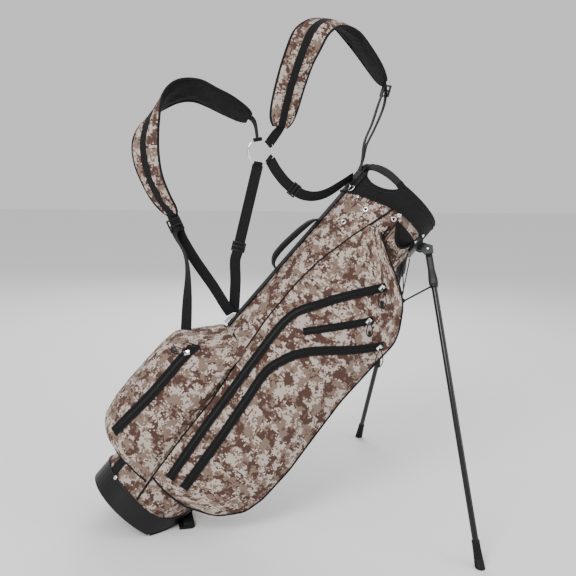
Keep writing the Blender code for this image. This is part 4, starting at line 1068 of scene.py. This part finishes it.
def make_pad(name, node, table):
    """A shoulder pad: cloth outside, mesh lining inside, bound edge and a webbing spine."""
    points = catmull([s[0] for s in table], 8)
    sides = catmull([s[1] for s in table], 8)
    widths = [v.x for v in catmull([(s[2], 0, 0) for s in table], 8)]
    stations = frames(points, sides)
    last = len(points) - 1
    reach = [min((p - points[0]).length, (p - points[last]).length) for p in points]
    ends = [math.sqrt(1 - max(0.0, 1 - (d + 0.003) / 0.024) ** 2) for d in reach]
    widths = [w * (0.45 + 0.55 * e) for w, e in zip(widths, ends)]
    faces = {"outer": [], "inner": []}
    edges = {"a": [], "b": []}
    columns = 16
    for (point, side, normal), width in zip(stations, widths):
        thick = PAD_T * min(1.0, 0.45 + width / 0.09)
        for key, sign in (("outer", 1), ("inner", -1)):
            line = []
            for k in range(columns + 1):
                u = -1 + 2 * k / columns
                dome = (1 - u * u) ** 0.5 * (1 - 0.22 * math.exp(-(u / 0.22) ** 2))
                line.append(point + side * (width / 2 * u) + normal * (sign * thick / 2 * dome))
            faces[key].append(line)
        for key, sign in (("a", -1), ("b", 1)):
            edges[key].append(point + side * (sign * width / 2))
    middle = columns // 2
    sewn = (0, middle - 1, middle, middle + 1, columns)
    pinned = {i for i in range((last + 1) * (columns + 1))
              if i % (columns + 1) in sewn or i // (columns + 1) in (0, last)}
    for key, finish in (("outer", CAMO), ("inner", BLACK_CLOTH)):
        kinds = {"replaces": (node,)} if key == "outer" else {}
        sheet = skin(name + "_" + key, faces[key], finish, **kinds)
        middle = len(faces[key]) // 2
        way = stations[middle][2] * (1 if key == "outer" else -1)
        local = sum((p.normal for p in sheet.data.polygons
                     if (p.center - BAG @ stations[middle][0]).length < 0.03), Vector())
        if local.dot(BAG_TURN @ way) < 0:
            sheet.data.flip_normals()
        swell(sheet, pinned, 2.6, 0.03, 0.004)
    rim = edges["a"] + edges["b"][::-1]
    cord(name + "_binding", rim, 0.0023, WEBBING, cyclic=True)
    raised = []
    for (point, side, normal), width in zip(stations, widths):
        thick = PAD_T * min(1.0, 0.45 + width / 0.09)
        raised.append((point + normal * (thick / 2 * 0.80 + 0.0012), side, normal))
    skin(name + "_webbing", ribbon_rings(raised, 0.0155, 0.0018), WEBBING, closed=True, capped=True)
    stitch_rows(name, raised[2:-2], 0.0062, 0.0011)


def ladder_lock(name, centre, along, side, size=(0.018, 0.028), body="bag", replaces=()):
    """A webbing adjuster: a rounded frame with two cross bars."""
    place = frame_matrix(centre, along, side)
    long, wide = size
    bm = bmesh.new()
    for sign in (-1, 1):
        block(bm, place, (long, 0.0030, 0.0042), (0, sign * (wide / 2 - 0.0014), 0))
        block(bm, place, (0.0030, wide, 0.0046), (sign * (long / 2 - 0.0014), 0, 0))
    block(bm, place, (0.0032, wide, 0.0056))
    mesh_piece(name, bm, PLASTIC, body, replaces)


def make_harness():
    """Pads, centre ring, the webbing that joins them to the bag, and its adjusters."""
    make_pad("pad_left", "shoulder_pad_left", PAD_LEFT)
    make_pad("pad_right", "shoulder_pad_right", PAD_RIGHT)
    circle = [RING_CENTRE + Vector((RING_R * math.cos(a), 0, RING_R * math.sin(a)))
              for a in turns(72)]
    cord("harness_ring", circle, RING_WIRE, BRIGHT_METAL, sides=16, cyclic=True,
         replaces=("centre_ring",))
    ways = {"left": Vector((-0.80, 0, 0.60)), "up": Vector((0.12, 0, 0.99)),
            "down": Vector((0.55, 0, -0.835)), "right": Vector((0.995, 0, 0.08))}
    rim = RING_R + RING_WIRE + 0.0012
    left, up, down, right = (RING_CENTRE + way * rim for way in ways.values())
    ribbon("tab_left", [(-0.352, 0.0, 0.7580), (-0.3385, 0.0, 0.7605), (-0.325, 0.0, 0.755), left],
           Vector((0.2, 0.9, -0.3)), 0.020, replaces=("pad_tab_left",))
    flat = Vector((0.55, 0.25, 0.8))
    ribbon("tab_right",
           [(-0.2910, -0.0115, 0.798), (-0.2860, -0.0085, 0.7815), (-0.2850, -0.007, 0.768), up],
           [flat, flat, Vector((0.9, 0.2, 0.3)), Vector((1, 0.2, 0))], 0.020,
           replaces=("pad_tab_right",))
    for name, way in ways.items():
        ring_loop(name, way.normalized())
    bend = Vector((-0.1860, -0.010, 0.540))
    straight = [down.lerp(bend, t) for t in (0.0, 0.35, 0.65, 0.86, 1.0, 1.1)]
    side = Vector((0.9, -0.3, 0.5))
    run = ribbon("webbing_spine", straight + [(-0.148, -0.010, 0.492), (-0.1085, -0.008, 0.443)],
                 side, 0.022, replaces=("web_spine",))
    ladder_lock("ladder_lock", down.lerp(bend, 0.93), bend - down, side, (0.020, 0.028),
                "ladder", ("ladder_slider",))
    level = Vector((0.1, -0.3, 1))
    ribbon("webbing_collar",
           [right, (-0.236, -0.016, 0.716), (-0.205, -0.022, 0.711), (-0.172, -0.028, 0.714),
            (-0.148, -0.028, 0.728), (-0.130, -0.022, 0.752), (-0.1175, -0.014, 0.785),
            (-0.1080, -0.008, 0.820)],
           [level] * 4 + [Vector((-0.35, -0.4, 0.9)), Vector((-0.65, -0.45, 0.65)),
                          Vector((-0.7, -0.6, 0.45)), Vector((-0.6, -0.8, 0.3))],
           0.022, replaces=("web_collar",))
    ladder_lock("collar_lock", (-0.186, -0.0262, 0.7112), (0.035, -0.006, 0.002), level)
    ribbon("webbing_left",
           [(-0.342, -0.0145, 0.5160), (-0.318, -0.0110, 0.5035), (-0.3050, -0.010, 0.4975),
            (-0.286, -0.010, 0.488), (-0.240, -0.010, 0.473), (-0.178, -0.010, 0.457),
            (-0.130, -0.014, 0.442), (-0.1120, -0.010, 0.438)],
           level, 0.022, replaces=("web_left",))
    ribbon("webbing_left_tail",
           [(-0.3140, -0.0120, 0.4980), (-0.3020, -0.0150, 0.4840), (-0.268, -0.028, 0.470),
            (-0.238, -0.034, 0.444), (-0.200, -0.035, 0.398), (-0.166, -0.032, 0.356)],
           [level, Vector((0.1, -1, 0.3)), Vector((0.1, -1, 0.2)), Vector((0.2, -0.9, 0.3)),
            Vector((0.6, -0.6, 0.5)), Vector((0.7, -0.3, 0.5))],
           0.022, replaces=("web_left_tail",))
    ladder_lock("left_buckle", (-0.3165, -0.0115, 0.5005), (0.90, 0.02, -0.40), level,
                (0.027, 0.029), replaces=("buckle_left",))
    edgewise = Vector((-0.10, -0.99, 0.04))
    ribbon("webbing_right_a",
           [(-0.1860, 0.0100, 1.013), (-0.1700, 0.0100, 1.001), (-0.1560, 0.0110, 0.984),
            (-0.145, 0.012, 0.962), (-0.133, 0.012, 0.925), (-0.124, 0.010, 0.890),
            (-0.1100, 0.006, 0.862), (-0.1030, 0.006, 0.842)],
           edgewise, 0.018, replaces=("web_right_a",))
    ribbon("webbing_right_b",
           [(-0.1765, 0.0080, 0.999), (-0.1700, 0.0060, 0.984), (-0.163, 0.004, 0.965),
            (-0.148, 0.000, 0.928), (-0.136, -0.004, 0.890), (-0.1160, -0.006, 0.8605),
            (-0.1030, -0.006, 0.840)],
           edgewise, 0.018, replaces=("web_right_b",))
    ladder_lock("right_buckle", (-0.1700, 0.0095, 1.0000), (0.45, 0.05, -0.89), (0.2, -0.8, 0.1),
                (0.024, 0.029), replaces=("buckle_right",))
    stitch_rows("webbing_spine", run[-10:], 0.008, 0.0011)


def ring_loop(name, way):
    """The sewn loop of webbing that turns round the harness ring."""
    across = way.cross(Vector((0, 1, 0))).normalized()
    rings = []
    for k in range(25):
        a = math.tau * k / 24
        out = way * math.cos(a) + Vector((0, math.sin(a), 0))
        rings.append((RING_CENTRE + way * RING_R + out * 0.0032, across, out))
    skin("ring_loop_" + name, ribbon_rings(rings, 0.018, 0.0014), WEBBING, closed=True, capped=True)


# ---------------------------------------------------------------- stand and hard parts

def eased(node, finish, width=0.0006):
    """Keeps a CAD solid and eases its edges, with a better finish."""
    piece = frame["nodes"][node]
    piece.data.materials.clear()
    piece.data.materials.append(finish)
    if width:
        edge = piece.modifiers.new("eased", "BEVEL")
        edge.width = width
        edge.segments = 2
        edge.limit_method = "ANGLE"
        edge.angle_limit = math.radians(35)
        edge.harden_normals = True


def make_legs():
    """Glossy round leg tubes, their sockets' ferrules and ribbed rubber feet."""
    for name, side in (("near", 1), ("far", -1)):
        body = name + "_leg"
        pivot = Vector((LEG_PIVOT.x, LEG_PIVOT.y * side, LEG_PIVOT.z))
        along = Vector((LEG_DIR.x, LEG_DIR.y * side, LEG_DIR.z))
        run = [pivot + along * d for d in (0.0403, 0.2, 0.4, 0.613)]
        cord(name + "_leg_gloss", run, 0.006, GRAPHITE, sides=40, body=body,
             replaces=(name + "_leg_tube",))
        place = BAG @ Matrix.Translation(pivot) @ along.to_track_quat("Z", "Y").to_matrix().to_4x4()
        bm = bmesh.new()
        lathe(bm, place, [(0.0061, 0.078), (0.0082, 0.078), (0.0086, 0.080), (0.0082, 0.083),
                          (0.0061, 0.084)], 32)
        bmesh.ops.recalc_face_normals(bm, faces=bm.faces)
        mesh_piece(name + "_leg_ferrule", bm, PLASTIC, body)
        profile = [(0.0061, 0.579), (0.0072, 0.5792), (0.0076, 0.581)]
        for k in range(8):
            d = 0.583 + 0.004 * k
            r = interpolate(((0.580, 0.0076), (0.596, 0.0079), (0.612, 0.0088), (0.640, 0.0098)), d)
            profile += [(r, d), (r, d + 0.0024), (r - 0.0006, d + 0.0029), (r - 0.0006, d + 0.0036)]
        profile += [(0.0091, 0.616), (0.0098, 0.645)]
        bm = bmesh.new()
        lathe(bm, place, profile, 40)
        bmesh.ops.remove_doubles(bm, verts=bm.verts, dist=1e-6)
        cut = bmesh.ops.bisect_plane(bm, geom=bm.verts[:] + bm.edges[:] + bm.faces[:],
                                     plane_co=(0, 0, 0), plane_no=(0, 0, 1), clear_inner=True)
        rim = [e for e in cut["geom_cut"] if isinstance(e, bmesh.types.BMEdge)]
        bmesh.ops.holes_fill(bm, edges=rim, sides=0)
        bmesh.ops.recalc_face_normals(bm, faces=bm.faces)
        mesh_piece(name + "_leg_shoe", bm, RUBBER, body, replaces=(name + "_leg_foot",))
        eased(name + "_leg_socket", GREY_PLASTIC, 0.0008)
        eased("hinge_pin_" + name, BARE_METAL, 0.0003)


YOKE = Vector((0.160, 0.0, 0.700))


def make_linkage():
    """Push rods, yoke, links that hook into the leg sockets, and the elastic cords."""
    for name, side in (("near", 1), ("far", -1)):
        start = Vector((YOKE.x, -0.0195 * side, YOKE.z))
        target = Vector((LEG_PIVOT.x, LEG_PIVOT.y * side, LEG_PIVOT.z)) + Vector(
            (LEG_DIR.x, LEG_DIR.y * side, LEG_DIR.z)) * 0.078
        end = start.lerp(target, 0.87)
        cord("link_rod_" + name, [start, start.lerp(end, 0.5), end], 0.0019, BLACK_METAL, sides=16,
             body=name + "_link", replaces=("link_wire_" + name,))
        bm = bmesh.new()
        ball = BAG @ Matrix.Translation(start)
        bmesh.ops.create_uvsphere(bm, u_segments=20, v_segments=12, radius=0.0036, matrix=ball)
        mesh_piece("link_knuckle_" + name, bm, GREY_PLASTIC, name + "_link")
    eased("actuator_rods", BLACK_METAL, 0)
    eased("rod_yoke", PLASTIC, 0.0008)
    eased("rod_guide", GREY_PLASTIC, 0.0008)
    meet = YOKE + Vector((-0.0035, 0, 0.0067))
    routes = {
        "near": [(0.070, -0.079, 0.768), (0.079, -0.069, 0.762), (0.090, -0.053, 0.753),
                 (0.103, -0.040, 0.743), (0.125, -0.029, 0.729), (0.146, -0.017, 0.715),
                 meet + Vector((0, -0.004, 0))],
        "far": [(0.1010, -0.030, 0.774), (0.108, -0.029, 0.765), (0.121, -0.024, 0.748),
                (0.137, -0.015, 0.731), (0.150, -0.005, 0.717), meet + Vector((0, 0.002, 0.001))],
    }
    for name, route in routes.items():
        piece = cord("elastic_cord_" + name, catmull(route, 8), 0.0012, BRAID, sides=10,
                     body=None, replaces=("return_cord_" + name,))
        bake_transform(piece)


def rivet(bm, place, radius=0.0045):
    lathe(bm, place, [(radius, -0.0006), (radius, 0.0004), (radius * 0.9, 0.0010),
                      (radius * 0.6, 0.0016), (radius * 0.2, 0.0019)], 24)


def outward(place):
    """Row-frame matrix on the tube's side at this bag point, Z pointing out."""
    out = Vector((place[0], place[1], 0)).normalized()
    turn = out.to_track_quat("Z", "Y").to_matrix().to_4x4()
    return BAG @ Matrix.Translation(Vector(place)) @ turn


def make_fittings():
    """Rivets, eyelets and the harness clip."""
    bm = bmesh.new()
    for x, y, z, r in ((-0.084, -0.054, 0.786, 0.1003), (-0.006, -0.0998, 0.808, 0.1003),
                       (0.074, -0.074, 0.799, 0.1003), (0.076, -0.072, 0.819, 0.1018),
                       (-0.087, -0.059, 0.044, 0.1000)):
        for sign in (1, -1):
            out = Vector((x, y * sign, 0)).normalized() * r
            rivet(bm, outward((out.x, out.y, z)))
    mesh_piece("rivets", bm, BRIGHT_METAL)
    rims, holes = bmesh.new(), bmesh.new()
    for x, y, z in ((-0.062, -0.079, 0.774), (-0.009, -0.1, 0.795), (-0.076, -0.065, 0.727)):
        out = Vector((x, y, 0)).normalized() * 0.0980
        place = outward((out.x, out.y, z))
        rows = []
        for k in range(33):
            a = math.tau * k / 32
            middle = Vector((0.0042 * math.cos(a), 0.0042 * math.sin(a), 0))
            way = middle.normalized()
            ring = []
            for b in turns(10):
                rise = Vector((0, 0, 0.0011 * math.sin(b)))
                ring.append(place @ (middle + way * (0.0016 * math.cos(b)) + rise))
            rows.append(ring)
        grid_bmesh(rows, closed=True, into=rims)
        # A dark disc in each eyelet stands in for its open hole: painted shade of the bag's inside.
        lathe(holes, place, [(0.0036, -0.0004), (0.0036, 0.0003)], 24)
    bmesh.ops.remove_doubles(rims, verts=rims.verts, dist=1e-6)
    mesh_piece("eyelets", rims, BRIGHT_METAL)
    mesh_piece("eyelet_shade_discs", holes, HOLE_SHADE)

    clip = frame_matrix((-0.1070, -0.006, 0.4290), (0.17, 0, 0.98), (0, 1, 0))
    bm = bmesh.new()
    block(bm, clip, (0.010, 0.0115, 0.0052), (0.007, 0, 0))
    block(bm, clip, (0.0155, 0.0026, 0.0034), (-0.005, 0.0042, 0))
    block(bm, clip, (0.0155, 0.0026, 0.0034), (-0.005, -0.0042, 0))
    block(bm, clip, (0.0026, 0.0100, 0.0034), (-0.0122, 0, 0))
    mesh_piece("harness_clip", bm, BARE_METAL, replaces=("snap_clip",))


def on_tube(angle, z, radius=TUBE_R + 0.0016):
    a = math.radians(angle)
    return Vector((radius * math.cos(a), radius * math.sin(a), z))


def make_anchor():
    """The strap anchor on the collar, its ring, and the patches sewn to the spine side."""
    for name, angle, low, high, width, radius in (
            ("anchor_patch", 184.0, 0.797, 0.851, 0.034, 0.1022),
            ("anchor_loop", 198.0, 0.800, 0.838, 0.015, 0.1026),
            ("heel_patch", 204.0, 0.047, 0.102, 0.024, TUBE_R + 0.0018)):
        side = Vector((-math.sin(math.radians(angle)), math.cos(math.radians(angle)), 0))
        run = [on_tube(angle, low + (high - low) * k / 4, radius) for k in range(5)]
        stations = ribbon(name, run, side, width)
        way = math.copysign(1, stations[0][2].dot(run[0]))
        stitch_rows(name, stations, (width - 0.005) / 2, 0.0011 * way)
    centre = on_tube(198.0, 0.7955, 0.1050)
    side = Vector((-math.sin(math.radians(198.0)), math.cos(math.radians(198.0)), 0))
    loop = []
    for a in turns(36):
        flat = 0.0080 * max(-0.45, math.sin(-a))
        loop.append(centre + side * (0.0072 * math.cos(a)) - Vector((0, 0, flat)))
    cord("anchor_ring", loop, 0.0013, BRIGHT_METAL, cyclic=True)
    piping = [on_tube(205 + 29 * k / 10, 0.411 - 0.012 * k / 10) for k in range(11)]
    cord("seam_piping", piping, 0.0019, BLACK_CLOTH)


def make_hard_parts():
    for node, finish, width in (
            ("base_boot", PLASTIC, 0.0010), ("heel_plate", RUBBER, 0.0010),
            ("hinge_housing", GREY_PLASTIC, 0.0007), ("base_pad", FOAM_CLOTH, 0.001),
            ("heel_hinge_pin", BARE_METAL, 0.0002), ("stay_near", BARE_METAL, 0.0003),
            ("stay_far", BARE_METAL, 0.0003), ("divider_sheets", FOAM_CLOTH, 0.0006),
            ("divider_frame", FOAM_CLOTH, 0.0025)):
        eased(node, finish, width)
    rim = []
    for a in turns(120):
        x, y = 0.0996 * math.cos(a), 0.0996 * math.sin(a)
        rim.append((x, y, smooth(BOOT_EDGE, x) - 0.0008))
    cord("boot_lip", rim, 0.0016, PLASTIC, cyclic=True)
    bars = bmesh.new()
    for k in range(5):
        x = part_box("heel_plate")[1].x - 0.008 - 0.0045 * k
        block(bars, Matrix.Translation((x, 0, 0.0056)), (0.0022, 0.140, 0.0022))
    mesh_piece("heel_treads", bars, RUBBER, "heel")
    for number, (sx, sy) in enumerate(((1, 1), (-1, 1), (-1, -1), (1, -1)), 1):
        inset, radius = 0.004, 0.086
        first = math.asin(inset / radius)
        arc = [(radius * math.cos(first + (math.pi / 2 - 2 * first) * k / 16),
                radius * math.sin(first + (math.pi / 2 - 2 * first) * k / 16)) for k in range(17)]
        edges = [(inset + (arc[0][0] - inset) * k / 6, inset) for k in range(6)]
        edges += arc + [(inset, arc[-1][1] + (inset - arc[-1][1]) * k / 6) for k in range(1, 6)]
        cord("well_binding_%d" % number, [(sx * x, sy * y, 0.8186) for x, y in edges], 0.0026,
             BLACK_CLOTH, sides=10, cyclic=True)


aim_camera()
make_stage()
make_tube()
make_collar()
make_lift_handle()
make_spine_handle()
make_near_pocket()
make_far_pocket()
make_ball_pocket()
make_bottle_sleeve()
make_zips()
make_harness()
make_legs()
make_linkage()
make_fittings()
make_anchor()
make_hard_parts()
